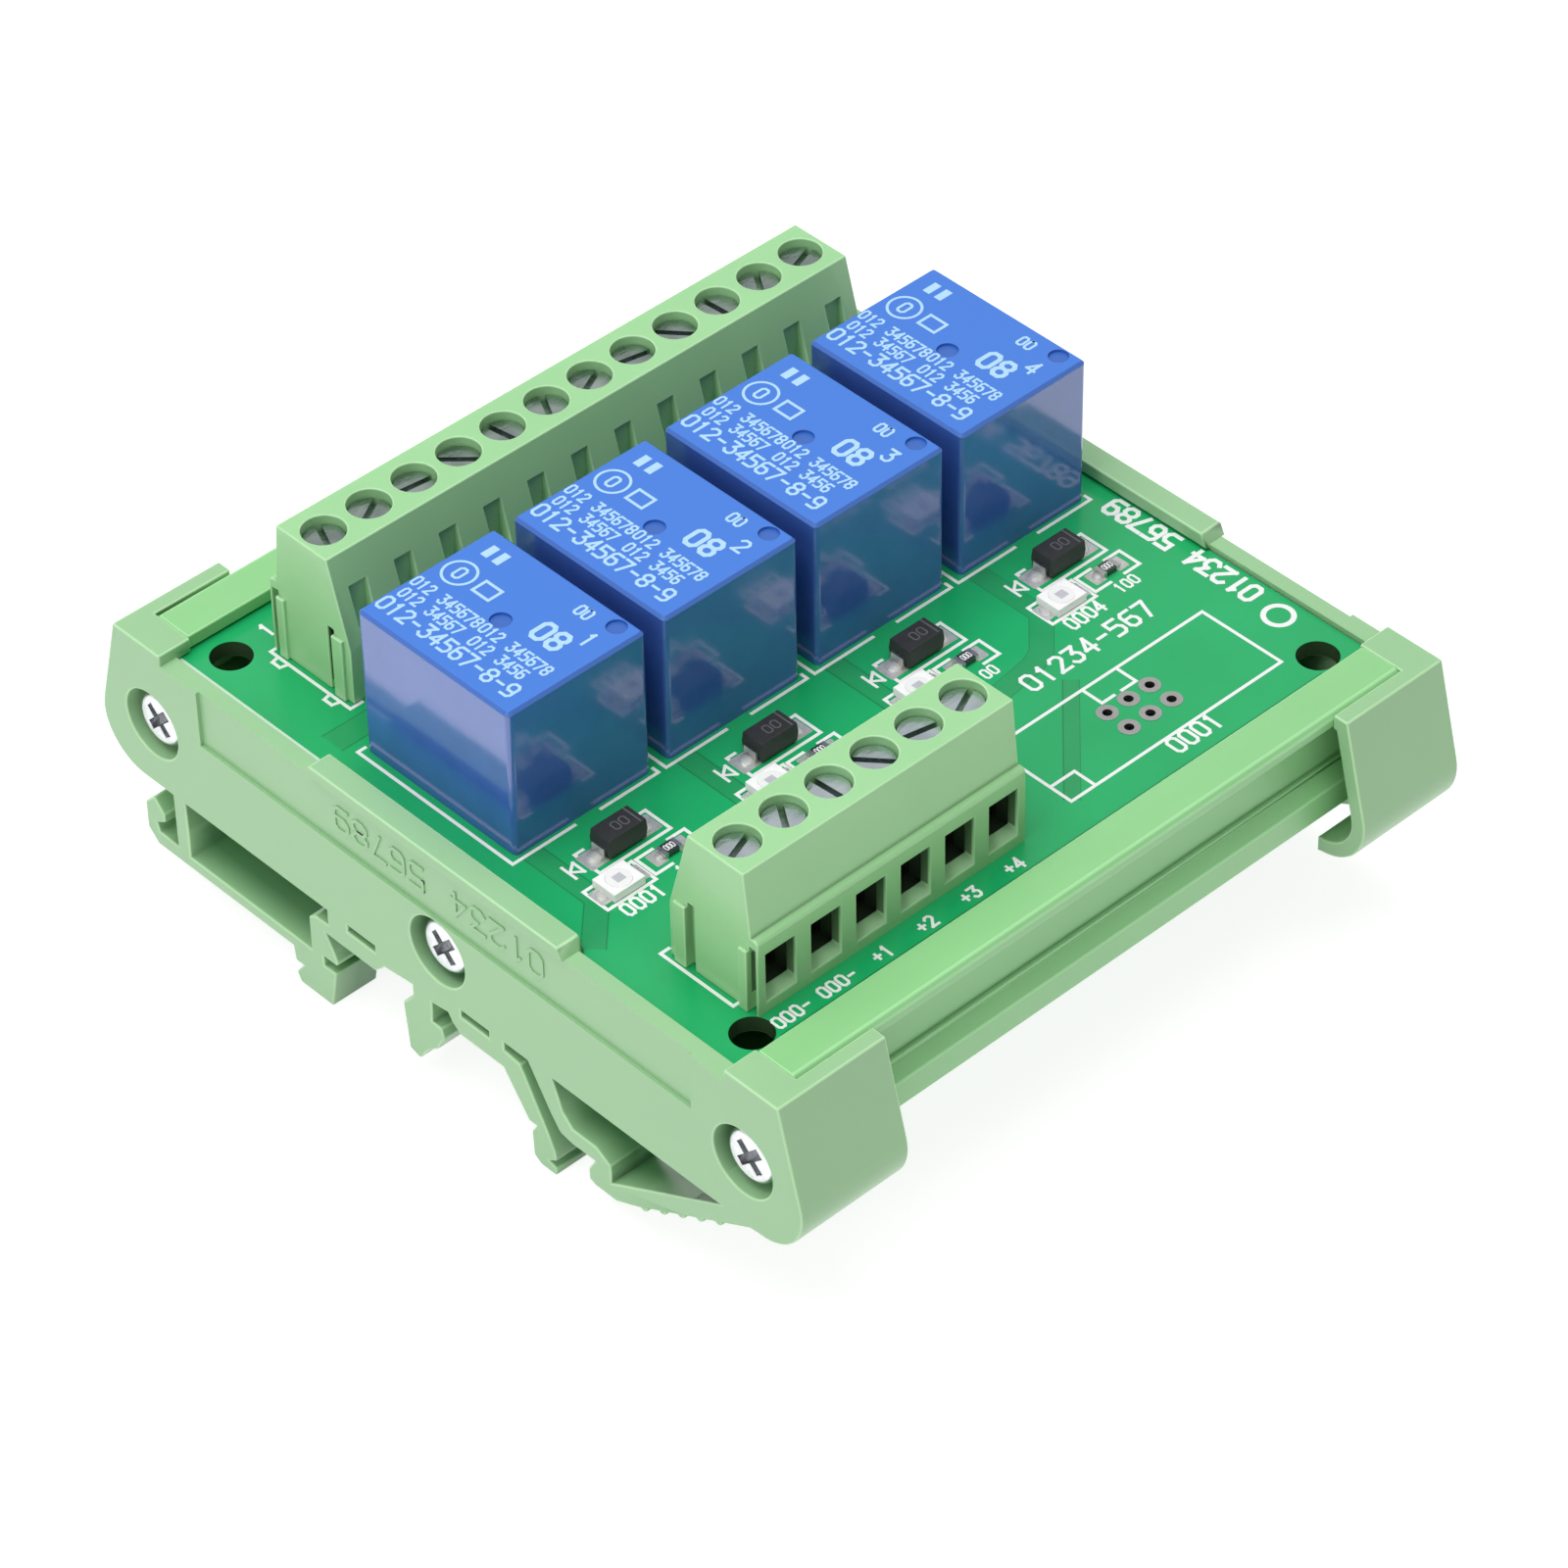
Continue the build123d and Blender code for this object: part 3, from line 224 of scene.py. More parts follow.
# relay case: glossy sides, fine grain and a paler blue on the top panel
def casePlastic(name, look):
    finish = Finish(bpy.data.materials.new(name))
    level = finish.node("ShaderNodeSeparateXYZ", inputs={"Vector": finish.place()}, output=2)
    onTop = level > look["topFrom"] * mm
    drift = finish.noise(look["drift"], detail=3.0)
    speck = finish.noise(fineLook["caseSpeck"], detail=2.0, rough=0.6)
    wave = finish.noise(look["grain"], detail=1.0)
    side = finish.blendColour(drift, look["dark"], look["light"])
    # painted shade: the top's dimples and chamfer, below its face, take the darker colour
    face = finish.blendColour(level > look["faceFrom"] * mm, look["rim"], look["top"])
    colour = finish.blendColour(onTop, side, face)
    shine = look["rough"] + (drift - 0.5) * look["roughSpread"]
    shine = shine + onTop * (look["topRough"] - look["rough"])
    settings = {
        "Base Color": colour,
        "Roughness": shine + (speck - 0.5) * fineLook["caseSpeckRough"],
        "Normal": finish.bump(look["bump"], fineLook["grainDepth"], wave + onTop * speck),
        "IOR": look["ior"],
    }
    return finish.finishWith(finish.node("ShaderNodeBsdfPrincipled", inputs=settings))


# plated metal: fine drag marks over cloudy plating
def platedMetal(name, look):
    finish = Finish(bpy.data.materials.new(name))
    cloud = finish.noise(look["cloud"], detail=look.get("detail", 4.0), rough=0.6)
    drag = finish.noise(look["drag"], detail=2.0, stretch=look["stretch"])
    colour = finish.blendColour(cloud, look["dark"], look["light"])
    # painted shade inside the given boxes
    for low, high, shade in look.get("hollows", ()):
        colour = finish.blendColour(finish.inside(low, high), colour, shade)
    rough = look["rough"] + (cloud - 0.5) * fineLook["platingCloudRough"]
    settings = {
        "Base Color": colour,
        "Roughness": (rough + (drag - 0.5) * fineLook["platingDragRough"]).clamped(),
        "Metallic": look.get("metal", 1.0),
        "Normal": finish.bump(look["bump"], look.get("depth", fineLook["platingDepth"]), drag + cloud),
    }
    return finish.finishWith(finish.node("ShaderNodeBsdfPrincipled", inputs=settings))


carrierLook = {
    "dark": rgb(0.240, 0.560, 0.228),
    "light": rgb(0.285, 0.620, 0.270),
    "ior": 1.65,
    "drift": 14.0,
    "grain": 0.16,
    "rough": 0.42,
    "roughSpread": 0.10,
    "bump": 0.25,
    "glow": 0.05,
}
# painted light: the feet are paler and greyer than the carrier, for the light and sheen on their outer faces
footLook = {
    "dark": rgb(0.290, 0.520, 0.272),
    "light": rgb(0.335, 0.575, 0.318),
    # painted shade in the feet's hollows
    "depthShade": {
        "face": 39.1,
        "reach": 2.6,
        "box": ((-40, -35.5, 0), (40, 35.5, 20.2)),
        "share": 0.75,
        "colour": rgb(0.075, 0.235, 0.095),
    },
    "drift": 17.0,
    "grain": 0.18,
    "rough": 0.40,
    "roughSpread": 0.12,
    "bump": 0.30,
    "glow": 0.05,
}
terminalLook = {
    "dark": rgb(0.300, 0.590, 0.280),
    "light": rgb(0.350, 0.655, 0.325),
    "coat": 0.25,
    "drift": 9.0,
    "grain": 0.14,
    "rough": 0.42,
    "roughSpread": 0.10,
    "bump": 0.22,
    "glow": 0.05,
}
# gloss on the sides, a paler matt panel on top
relayCaseLook = {
    "dark": rgb(0.042, 0.106, 0.40),
    "light": rgb(0.062, 0.150, 0.52),
    "top": rgb(0.038, 0.178, 0.65),
    # painted shade in the top's dimples and on its chamfer
    "rim": rgb(0.028, 0.120, 0.46),
    "topFrom": boardTop + 15.2,
    "faceFrom": boardTop + 15.57,
    "drift": 3.5,
    "grain": 0.9,
    "rough": 0.11,
    "topRough": 0.42,
    "roughSpread": 0.08,
    "bump": 0.06,
    "ior": 1.8,
}
darkPlasticLook = {
    "dark": rgb(0.008, 0.012, 0.02),
    "light": rgb(0.018, 0.024, 0.035),
    "drift": 3.0,
    "grain": 0.2,
    "rough": 0.45,
    "roughSpread": 0.1,
    "bump": 0.2,
}
epoxyLook = {
    "dark": rgb(0.020, 0.020, 0.021),
    "light": rgb(0.034, 0.034, 0.036),
    "drift": 0.8,
    "grain": 0.07,
    "rough": 0.5,
    "roughSpread": 0.15,
    "bump": 0.5,
}
whitePlasticLook = {
    "dark": rgb(0.88, 0.88, 0.86),
    "light": rgb(0.95, 0.95, 0.93),
    "drift": 2.0,
    "grain": 0.1,
    "rough": 0.35,
    "roughSpread": 0.1,
    "bump": 0.1,
    "glow": 0.2,
}
lensLook = {
    "dark": rgb(0.86, 0.86, 0.82),
    "light": rgb(0.93, 0.93, 0.90),
    "drift": 0.7,
    "grain": 0.3,
    "rough": 0.1,
    "roughSpread": 0.04,
    "bump": 0.05,
    "coat": 1.0,
}
inkLook = {
    "dark": rgb(0.78, 0.79, 0.78),
    "light": rgb(0.90, 0.91, 0.90),
    "drift": 1.0,
    "grain": 0.06,
    "rough": 0.55,
    "roughSpread": 0.15,
    "bump": 0.3,
}
zincLook = {
    "dark": rgb(0.50, 0.51, 0.53),
    "light": rgb(0.78, 0.79, 0.81),
    "cloud": 0.9,
    "drag": 0.12,
    "stretch": (1, 6, 1),
    "rough": 0.20,
    "bump": 0.35,
}
# screw heads of the terminals: dulled zinc with broad bright and dark patches, partly plating cloud and
# partly painted reflection
headLook = {
    "dark": rgb(0.42, 0.48, 0.54),
    "light": rgb(0.88, 0.95, 1.00),
    "cloud": 1.9,
    "detail": 0.5,
    "drag": 0.9,
    "stretch": (1, 2, 1),
    "rough": 0.30,
    "bump": 0.5,
    "depth": 0.13,
}
tinLook = {
    "dark": rgb(0.50, 0.50, 0.49),
    "light": rgb(0.74, 0.74, 0.72),
    "cloud": 0.4,
    "drag": 0.1,
    "stretch": (1, 1, 1),
    "rough": 0.32,
    "bump": 0.5,
}
# painted shade: the clamps are far darker than brass, for the shade inside the terminal housings
clampShadeLook = {
    "dark": rgb(0.045, 0.045, 0.040),
    "light": rgb(0.110, 0.105, 0.090),
    "cloud": 1.0,
    "drag": 0.15,
    "stretch": (1, 1, 5),
    "rough": 0.5,
    "bump": 0.25,
}
bronzeLook = {
    "dark": rgb(0.42, 0.27, 0.13),
    "light": rgb(0.58, 0.40, 0.21),
    "cloud": 1.2,
    "drag": 0.12,
    "stretch": (6, 1, 1),
    "rough": 0.28,
    "bump": 0.2,
}
copperLook = {
    "dark": rgb(0.42, 0.14, 0.05),
    "light": rgb(0.62, 0.24, 0.10),
    "cloud": 1.5,
    "drag": 0.08,
    "stretch": (0.05, 0.05, 1.0),
    "rough": 0.35,
    "bump": 0.6,
}


# the weave under the mask, and the board's cut edge between two depths below its upper face
sheetLook = {
    "weave": 0.22,
    "stretch": 4,
    "bump": 0.12,
    "depth": 0.04,
    "rough": 0.2,
    "roughSpread": 0.12,
    "cutFrom": 1.57,
    "cutTo": 0.03,
    "cutColour": rgb(0.040, 0.080, 0.035),
}


# solder mask: clear green over laminate, with the weave just showing, and bare laminate where it's cut
def solderMask(name, look):
    finish = Finish(bpy.data.materials.new(name))
    cloud = finish.noise(look["cloud"], detail=3.0)
    lengthwise = finish.noise(sheetLook["weave"], detail=1.0, stretch=(1, sheetLook["stretch"], 1))
    crosswise = finish.noise(sheetLook["weave"], detail=1.0, stretch=(sheetLook["stretch"], 1, 1))
    face = finish.blendColour(cloud, look["dark"], look["light"])
    level = finish.node("ShaderNodeSeparateXYZ", inputs={"Vector": finish.place()}, output=2)
    lowest, highest = boardTop - sheetLook["cutFrom"], boardTop - sheetLook["cutTo"]
    cutEdge = (level > lowest * mm) * (level < highest * mm)
    settings = {
        "Base Color": finish.blendColour(cutEdge, face, sheetLook["cutColour"]),
        "Roughness": sheetLook["rough"] + (cloud - 0.5) * sheetLook["roughSpread"],
        "Normal": finish.bump(sheetLook["bump"], sheetLook["depth"], lengthwise + crosswise),
    }
    return finish.finishWith(finish.node("ShaderNodeBsdfPrincipled", inputs=settings))


maskLook = {"dark": rgb(0.010, 0.34, 0.105), "light": rgb(0.016, 0.43, 0.145), "cloud": 9.0}
channelLook = {"dark": rgb(0.016, 0.285, 0.090), "light": rgb(0.022, 0.350, 0.120), "cloud": 4.0}
rimLook = {"dark": rgb(0.012, 0.200, 0.065), "light": rgb(0.016, 0.240, 0.080), "cloud": 4.0}

carrierGreen = mouldedPlastic("carrierGreen", carrierLook)
footGreen = mouldedPlastic("footGreen", footLook)
# painted shade: the wire windows darken in two steps behind the face
paintedWindowShade = rgb(0.105, 0.190, 0.095)
paintedHollowShade = rgb(0.075, 0.115, 0.065)
outputHollows = (
    ((-29.9, 29.0, 27.75), (30.7, 30.7, 32.15), paintedWindowShade),
    ((-29.9, 22.9, 26.7), (30.7, 29.85, 35.5), paintedHollowShade),
)
inputHollows = (
    ((-31.6, -31.6, 27.75), (-1.6, -30.0, 32.15), paintedWindowShade),
    ((-31.6, -30.75, 26.7), (-1.6, -23.8, 35.5), paintedHollowShade),
)
outputGreen = mouldedPlastic("outputGreen", dict(terminalLook, hollows=outputHollows))
inputGreen = mouldedPlastic("inputGreen", dict(terminalLook, hollows=inputHollows))
# painted highlight: rounded edges catch more light, so theirs is a paler copy of their part's colour
carrierEdgeHighlight = mouldedPlastic("carrierEdgeHighlight", toned(carrierLook, (0.33, 0.68, 0.31), (0.39, 0.74, 0.37)))
footEdgeHighlight = mouldedPlastic("footEdgeHighlight", toned(footLook, (0.42, 0.68, 0.38), (0.48, 0.74, 0.44)))
terminalEdgeHighlight = mouldedPlastic("terminalEdgeHighlight", toned(terminalLook, (0.40, 0.69, 0.37), (0.46, 0.75, 0.43)))
relayBlue = casePlastic("relayBlue", relayCaseLook)
relayBase = mouldedPlastic("relayBaseBlack", darkPlasticLook)
diodeEpoxy = mouldedPlastic("diodeEpoxy", epoxyLook)
bobbinWhite = mouldedPlastic("bobbinWhite", whitePlasticLook)
lampWhite = mouldedPlastic("lampWhite", whitePlasticLook)
lampResin = mouldedPlastic("lampResin", lensLook)
resistorGlaze = mouldedPlastic("resistorGlaze", dict(epoxyLook, rough=0.25, coat=0.5))
boardInk = mouldedPlastic("boardInk", inkLook)
relayInk = mouldedPlastic("relayInk", toned(inkLook, (0.37, 0.61, 0.83), (0.46, 0.69, 0.90)))
dieGrey = mouldedPlastic("dieGrey", toned(epoxyLook, (0.46, 0.45, 0.49), (0.58, 0.57, 0.62)))
greyInk = mouldedPlastic("greyInk", toned(inkLook, (0.08, 0.08, 0.085), (0.14, 0.14, 0.145)))
paleLineTone = mouldedPlastic("paleLineTone", toned(inkLook, (0.52, 0.68, 0.55), (0.66, 0.80, 0.68)))
solderLook = dict(tinLook, metal=0.65, rough=0.34, cloud=0.7, depth=0.12)
solderTin = platedMetal("solderTin", toned(solderLook, (0.60, 0.58, 0.55), (0.95, 0.94, 0.93)))
brightZinc = platedMetal("brightZinc", zincLook)
# painted shade in the slots of the terminal screws and on the heads' side walls
slotGrime = (((-40, -40, 38.05), (40, 40, 39.45), rgb(0.38, 0.44, 0.43)),)
dulledZincPaintedLight = platedMetal("dulledZincPaintedLight", dict(headLook, hollows=slotGrime))
# painted shade: the output screws sit deeper in their bores, so theirs is a darker copy of the head finish
shadedLook = toned(headLook, (0.19, 0.24, 0.23), (0.60, 0.68, 0.66), hollows=slotGrime)
shadedZinc = platedMetal("shadedZinc", shadedLook)
tinPlate = platedMetal("tinPlate", tinLook)
clampPlate = platedMetal("clampPlate", clampShadeLook)
springBronze = platedMetal("springBronze", bronzeLook)
windingCopper = platedMetal("windingCopper", copperLook)
boardMask = solderMask("boardMask", maskLook)
channelMask = solderMask("channelMask", channelLook)
rimMask = solderMask("rimMask", rimLook)
print("finishes made")

slotFinish = {
    "carrier_plastic": carrierGreen,
    "terminal_plastic": outputGreen,
    "board_laminate": boardMask,
    "plated_copper": tinPlate,
    "screw_steel": brightZinc,
    "clamp_brass": clampPlate,
    "tinned_lead": tinPlate,
    "relay_case_plastic": relayBlue,
    "relay_base_plastic": relayBase,
    "bobbin_plastic": bobbinWhite,
    "copper_wire": windingCopper,
    "soft_iron": brightZinc,
    "spring_bronze": springBronze,
    "diode_epoxy": diodeEpoxy,
    "lamp_plastic": lampWhite,
    "lamp_lens": lampResin,
    "resistor_ceramic": resistorGlaze,
}
nodeSlot = {entry["node"]: entry["material_slot"] for entry in frame["record"]["subparts"]}
nodeFinish = {nodeName: slotFinish[slotName] for nodeName, slotName in nodeSlot.items()}
# nodes that differ from the others of their slot
nodeFinish.update({
    "foot_left": footGreen,
    "foot_right": footGreen,
    "input_terminal_housing": inputGreen,
    # painted shade: darker screws in the deeper output bores
    "output_terminal_screws": shadedZinc,
    "input_terminal_screws": dulledZincPaintedLight,
})
for nodeName, node in frame["nodes"].items():
    node.data.materials.clear()
    node.data.materials.append(nodeFinish[nodeName])


def bodyOf(nodeName):
    bodies = frame["record"]["behaviour"]["bodies"]
    return next(body for body, nodes in bodies.items() if nodeName in nodes)


def meshFrom(form, name):
    mesh = bpy.data.meshes.new(name)
    form.to_mesh(mesh)
    form.free()
    return mesh


def inScene(name, data):
    made = bpy.data.objects.new(name, data)
    bpy.context.scene.collection.objects.link(made)
    return made


def addPiece(name, mesh, finish, body="board_unit"):
    piece = inScene(name, mesh)
    mesh.materials.append(finish)
    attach(piece, body)
    return piece


# lower edge of a foot's panel, run straight past the middle screw: what bends round it is found by its radius
panelEdge = {"level": 20.3, "centre": 16.5, "padRadius": 4.5, "slack": 0.05, "outer": 38.8}


def straightenPanel(form):
    for corner in form.verts:
        x, y, z = (value / mm for value in corner.co)
        onPad = abs(math.hypot(y, z - panelEdge["centre"]) - panelEdge["padRadius"]) < panelEdge["slack"]
        if onPad and abs(x) > panelEdge["outer"] and z > panelEdge["level"]:
            corner.co.z = panelEdge["level"] * mm


# rounding: weld in millimetres, flat and corner in degrees, shortest neighbour in widths, straight a cosine
roundLook = {"weld": 0.002, "flat": 0.6, "corner": 32, "shortest": 2.2, "straight": -0.8, "segments": 2}


# edges that stand out far enough to be rounded, except those that end beside a detail finer than that
def edgesToRound(form, width):
    corner = math.radians(roundLook["corner"])
    wanted = set()
    for edge in form.edges:
        if edge.is_manifold and edge.is_convex and edge.calc_face_angle(0) > corner:
            wanted.add(edge)
    tight = set()
    for edge in wanted:
        for end in edge.verts:
            along = edge.other_vert(end).co - end.co
            for other in end.link_edges:
                if other is edge or other.calc_length() > roundLook["shortest"] * width * mm:
                    continue
                onward = other.other_vert(end).co - end.co
                turned = along.normalized().dot(onward.normalized()) > roundLook["straight"]
                if turned or other not in wanted:
                    tight.add(end)
    return [edge for edge in wanted if not tight.intersection(edge.verts)]


# a copy of a CAD node with its edges eased, standing for that node
def easedCopy(nodeName, width, edgeHighlight):
    node = frame["nodes"][nodeName]
    form = bmesh.new()
    form.from_mesh(node.data)
    bmesh.ops.remove_doubles(form, verts=form.verts, dist=roundLook["weld"] * mm)
    if nodeName in ("foot_left", "foot_right"):
        straightenPanel(form)
    flat = math.radians(roundLook["flat"])
    bmesh.ops.dissolve_limit(form, angle_limit=flat, verts=form.verts, edges=form.edges)
    # inner corners stay crisp
    for face in form.faces:
        face.smooth = True
    for edge in form.edges:
        edge.smooth = edge.calc_face_angle(0) < math.radians(roundLook["corner"])
    weight = form.edges.layers.float.new("bevel_weight_edge")
    for edge in edgesToRound(form, width):
        edge[weight] = 1.0
        edge.smooth = True
    mesh = meshFrom(form, nodeName + "Eased")
    piece = addPiece(nodeName + "_eased", mesh, nodeFinish[nodeName], bodyOf(nodeName))
    ease = piece.modifiers.new("easedEdges", "BEVEL")
    ease.width = width * mm
    ease.segments = roundLook["segments"]
    ease.limit_method = "WEIGHT"
    ease.use_clamp_overlap = False
    ease.loop_slide = False
    # the rounded edges take the paler painted-highlight finish
    if edgeHighlight:
        mesh.materials.append(edgeHighlight)
        ease.material = 1
    shading = piece.modifiers.new("evenShading", "WEIGHTED_NORMAL")
    shading.mode = "FACE_AREA"
    shading.weight = 100
    shading.keep_sharp = True
    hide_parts(nodeName)


# width of the rounding in millimetres, and its paler painted-highlight finish where it has one
easedEdges = {
    "carrier_profile": (0.16, carrierEdgeHighlight),
    "foot_left": (0.16, footEdgeHighlight),
    "foot_right": (0.16, footEdgeHighlight),
    "foot_screws_left": (0.12, None),
    "foot_screws_right": (0.12, None),
    "output_terminal_housing": (0.13, terminalEdgeHighlight),
    "input_terminal_housing": (0.13, terminalEdgeHighlight),
    "diode_bodies": (0.10, None),
    "led_bodies": (0.08, None),
}
for nodeName, (width, edgeHighlight) in easedEdges.items():
    easedCopy(nodeName, width, edgeHighlight)
print("edges eased")


# plane that marks are laid out on: its own x and y, and outward is up
def layout(origin, across=(1, 0, 0), upward=(0, 1, 0)):
    across, upward = Vector(across), Vector(upward)
    turn = Matrix((across, upward, across.cross(upward))).transposed().to_4x4()
    return Matrix.Scale(mm, 4) @ Matrix.Translation(origin) @ turn


# each printed stroke lies a hair above the last, in a short run of steps; sharp is the cosine of a turn
strokeLook = {"thick": 0.02, "step": 0.0015, "steps": 6, "sharp": 0.6, "turnedBack": 0.3}


# edge points of a ribbon along a line, mitred at the corners and squared off past the ends
def ribbonEdges(points, width, closed=False):
    spots = [Vector(point) for point in points]
    edges = []
    for n, spot in enumerate(spots):
        first = n == 0 and not closed
        last = n == len(spots) - 1 and not closed
        onward = (spots[(n + 1) % len(spots)] - spot) if not last else (spot - spots[n - 1])
        inward = (spot - spots[n - 1]) if not first else onward
        onward, inward = onward.normalized(), inward.normalized()
        along = inward + onward
        along = along.normalized() if along.length > strokeLook["turnedBack"] else onward
        across = Vector((-along.y, along.x))
        reach = width / 2 / max(strokeLook["sharp"], along.dot(onward))
        spot = spot - onward * width / 2 * first + inward * width / 2 * last
        edges.append((spot + across * reach, spot - across * reach))
    return edges


# thin printed or raised strokes, stepped in height so that crossings stay clean
def layStrokes(name, strokes, place, finish, thick=strokeLook["thick"]):
    form = bmesh.new()
    for n, (points, width, closed) in enumerate(strokes):
        height = thick + strokeLook["step"] * (n % strokeLook["steps"])
        rows = []
        for edge in ribbonEdges(points, width, closed):
            rows.append([form.verts.new(place @ Vector((side.x, side.y, height))) for side in edge])
        for here, there in zip(rows, rows[1:] + rows[:1] * closed):
            form.faces.new((here[0], here[1], there[1], there[0]))
    grown = bmesh.ops.extrude_face_region(form, geom=form.faces[:])
    below = [part for part in grown["geom"] if isinstance(part, bmesh.types.BMVert)]
    inward = -(place.to_3x3() @ Vector((0, 0, 1))) * thick
    bmesh.ops.translate(form, verts=below, vec=inward)
    bmesh.ops.recalc_face_normals(form, faces=form.faces[:])
    addPiece(name, meshFrom(form, name), finish)


# a drawn line as ribbons: it parts at each sharp corner, where both ends run out square
def line(points, width, closed=False):
    points = [tuple(point) for point in points]
    count = len(points)
    sharp = []
    for n in range(count if closed else count - 1):
        if n == 0 and not closed:
            continue
        inward = Vector(points[n]) - Vector(points[n - 1])
        onward = Vector(points[(n + 1) % count]) - Vector(points[n])
        if inward.normalized().dot(onward.normalized()) < strokeLook["sharp"]:
            sharp.append(n)
    if closed and not sharp:
        return [(points, width, True)]
    if closed:
        points = points[sharp[0]:] + points[:sharp[0] + 1]
        sharp = [n - sharp[0] for n in sharp[1:]]
    stops = [0] + sharp + [len(points) - 1]
    return [(points[stops[n]:stops[n + 1] + 1], width, False) for n in range(len(stops) - 1)]


# a plain filled oblong, by its middle
def block(x, y, wide, high):
    return [([(x - (wide - high) / 2, y), (x + (wide - high) / 2, y)], high, False)]


# single-line figures on a grid four wide and six high
figureStrokes = {
    "0": [[(1, 0), (0, 1), (0, 5), (1, 6), (3, 6), (4, 5), (4, 1), (3, 0)]],
    "1": [[(1, 5), (2, 6), (2, 0)]],
    "2": [[(0, 5), (1, 6), (3, 6), (4, 5), (4, 4), (0, 0), (4, 0)]],
    "3": [[(0, 6), (4, 6), (2, 3.6), (3, 3.6), (4, 2.6), (4, 1), (3, 0), (1, 0), (0, 1)]],
    "4": [[(4, 1.8), (0, 1.8), (3, 6), (3, 0)]],
    "5": [[(4, 6), (0, 6), (0, 3.5), (3, 3.5), (4, 2.5), (4, 1), (3, 0), (0, 0)]],
    "6": [[(4, 6), (1, 6), (0, 5), (0, 1), (1, 0), (3, 0), (4, 1), (4, 2.4), (3, 3.4)],
          [(3, 3.4), (0.4, 3.4)]],
    "7": [[(0, 6), (4, 6), (1.5, 0)]],
    "8": [[(1, 3.1), (0, 4.1), (0, 5), (1, 6), (3, 6), (4, 5), (4, 4.1), (3, 3.1)],
          [(1, 3.1), (0, 2.1), (0, 1), (1, 0), (3, 0), (4, 1), (4, 2.1), (3, 3.1)]],
    "9": [[(0, 0), (3, 0), (4, 1), (4, 5), (3, 6), (1, 6), (0, 5), (0, 3.6), (1, 2.6)],
          [(1, 2.6), (3.6, 2.6)]],
    "-": [[(0.5, 3), (3.5, 3)]],
    "+": [[(0.3, 3), (3.7, 3)], [(2, 4.7), (2, 1.3)]],
}
closedFigures = "08"


# strokes of a row of figures: the first one's foot stands on the spot, the row runs along the turn
def figures(text, spot, high, turn=0, wide=0.55, gap=0.3, width=0.2):
    along = Matrix.Rotation(math.radians(turn), 2)
    made = []
    for n, figure in enumerate(text):
        for stroke in figureStrokes.get(figure, []):
            points = []
            for x, y in stroke:
                point = along @ Vector(((x / 4 * wide + n * (wide + gap)) * high, y / 6 * high))
                points.append((spot[0] + point.x, spot[1] + point.y))
            made += line(points, width, figure in closedFigures)
    return made


def ring(centre, radius, width, steps=24):
    points = []
    for n in range(steps):
        angle = 2 * math.pi * n / steps
        points.append((centre[0] + radius * math.cos(angle), centre[1] + radius * math.sin(angle)))
    return line(points, width, closed=True)


relayPlaces = [-25.44 + 17.39 * n for n in range(4)]
relayCentreY = 5.8
relayTop = boardTop + 15.6

# white print of the board: width of the line, whether it closes, and its points
silk, thin = 0.33, 0.28
boardPrint = {
    # relay, diode, lamp and resistor, then the diode's arrow and bar, across from the relay's middle
    "atRelay": (
        (silk, False, ((-1.5, -4.2), (-8.45, -4.2), (-8.45, 15.6), (-7.65, 15.6))),
        (silk, False, ((1.5, -4.2), (8.05, -4.2), (8.05, -3.5))),
        (silk, False, ((2.8, -6.95), (4.0, -6.95), (4.0, -10.1),
                       (-4.0, -10.1), (-4.0, -6.95), (-3.1, -6.95))),
        (silk, True, ((-6.55, -13.9), (-1.15, -13.9), (-1.15, -10.85), (-6.55, -10.85))),
        (silk, False, ((1.1, -13.45), (-0.75, -13.45), (-0.75, -10.95), (1.1, -10.95))),
        (silk, False, ((2.9, -13.45), (4.75, -13.45), (4.75, -10.95), (2.9, -10.95))),
        (thin, True, ((-5.7, -8.3), (-4.75, -7.55), (-4.75, -9.05))),
        (thin, False, ((-5.85, -7.4), (-5.85, -9.2))),
    ),
    # header with its corner and key
    "header": (
        (silk, True, ((4.9, -31.2), (30.65, -31.2), (30.65, -21.8), (4.9, -21.8))),
        (silk, False, ((4.9, -28.7), (7.8, -28.7), (7.8, -31.2))),
        (silk, False, ((15.76, -21.8), (15.76, -24.2), (17.2, -24.2))),
        (silk, False, ((18.2, -24.2), (19.9, -24.2), (19.9, -21.8))),
    ),
    # left ends of the terminals, and the half rings of the long one's fixing pegs
    "terminals": (
        (silk, False, ((-30.1, 30.9), (-30.7, 30.9), (-30.7, 20.3), (-29.4, 20.3))),
        (silk, False, ((-30.7, 29.9), (-31.5, 29.7), (-31.5, 28.7), (-30.7, 28.5))),
        (silk, False, ((-30.7, 23.0), (-31.5, 22.8), (-31.5, 21.8), (-30.7, 21.6))),
        (silk, False, ((-31.55, -20.8), (-32.45, -20.8), (-32.45, -29.5), (-31.05, -29.5))),
    ),
}
onBoard = layout((0, 0, boardTop))
marks = []
for x in relayPlaces:
    for width, closed, points in boardPrint["atRelay"]:
        marks += line([(x + px, py) for px, py in points], width, closed)
for width, closed, points in boardPrint["header"] + boardPrint["terminals"]:
    marks += line(points, width, closed)
layStrokes("boardOutlines", marks, onBoard, boardInk)

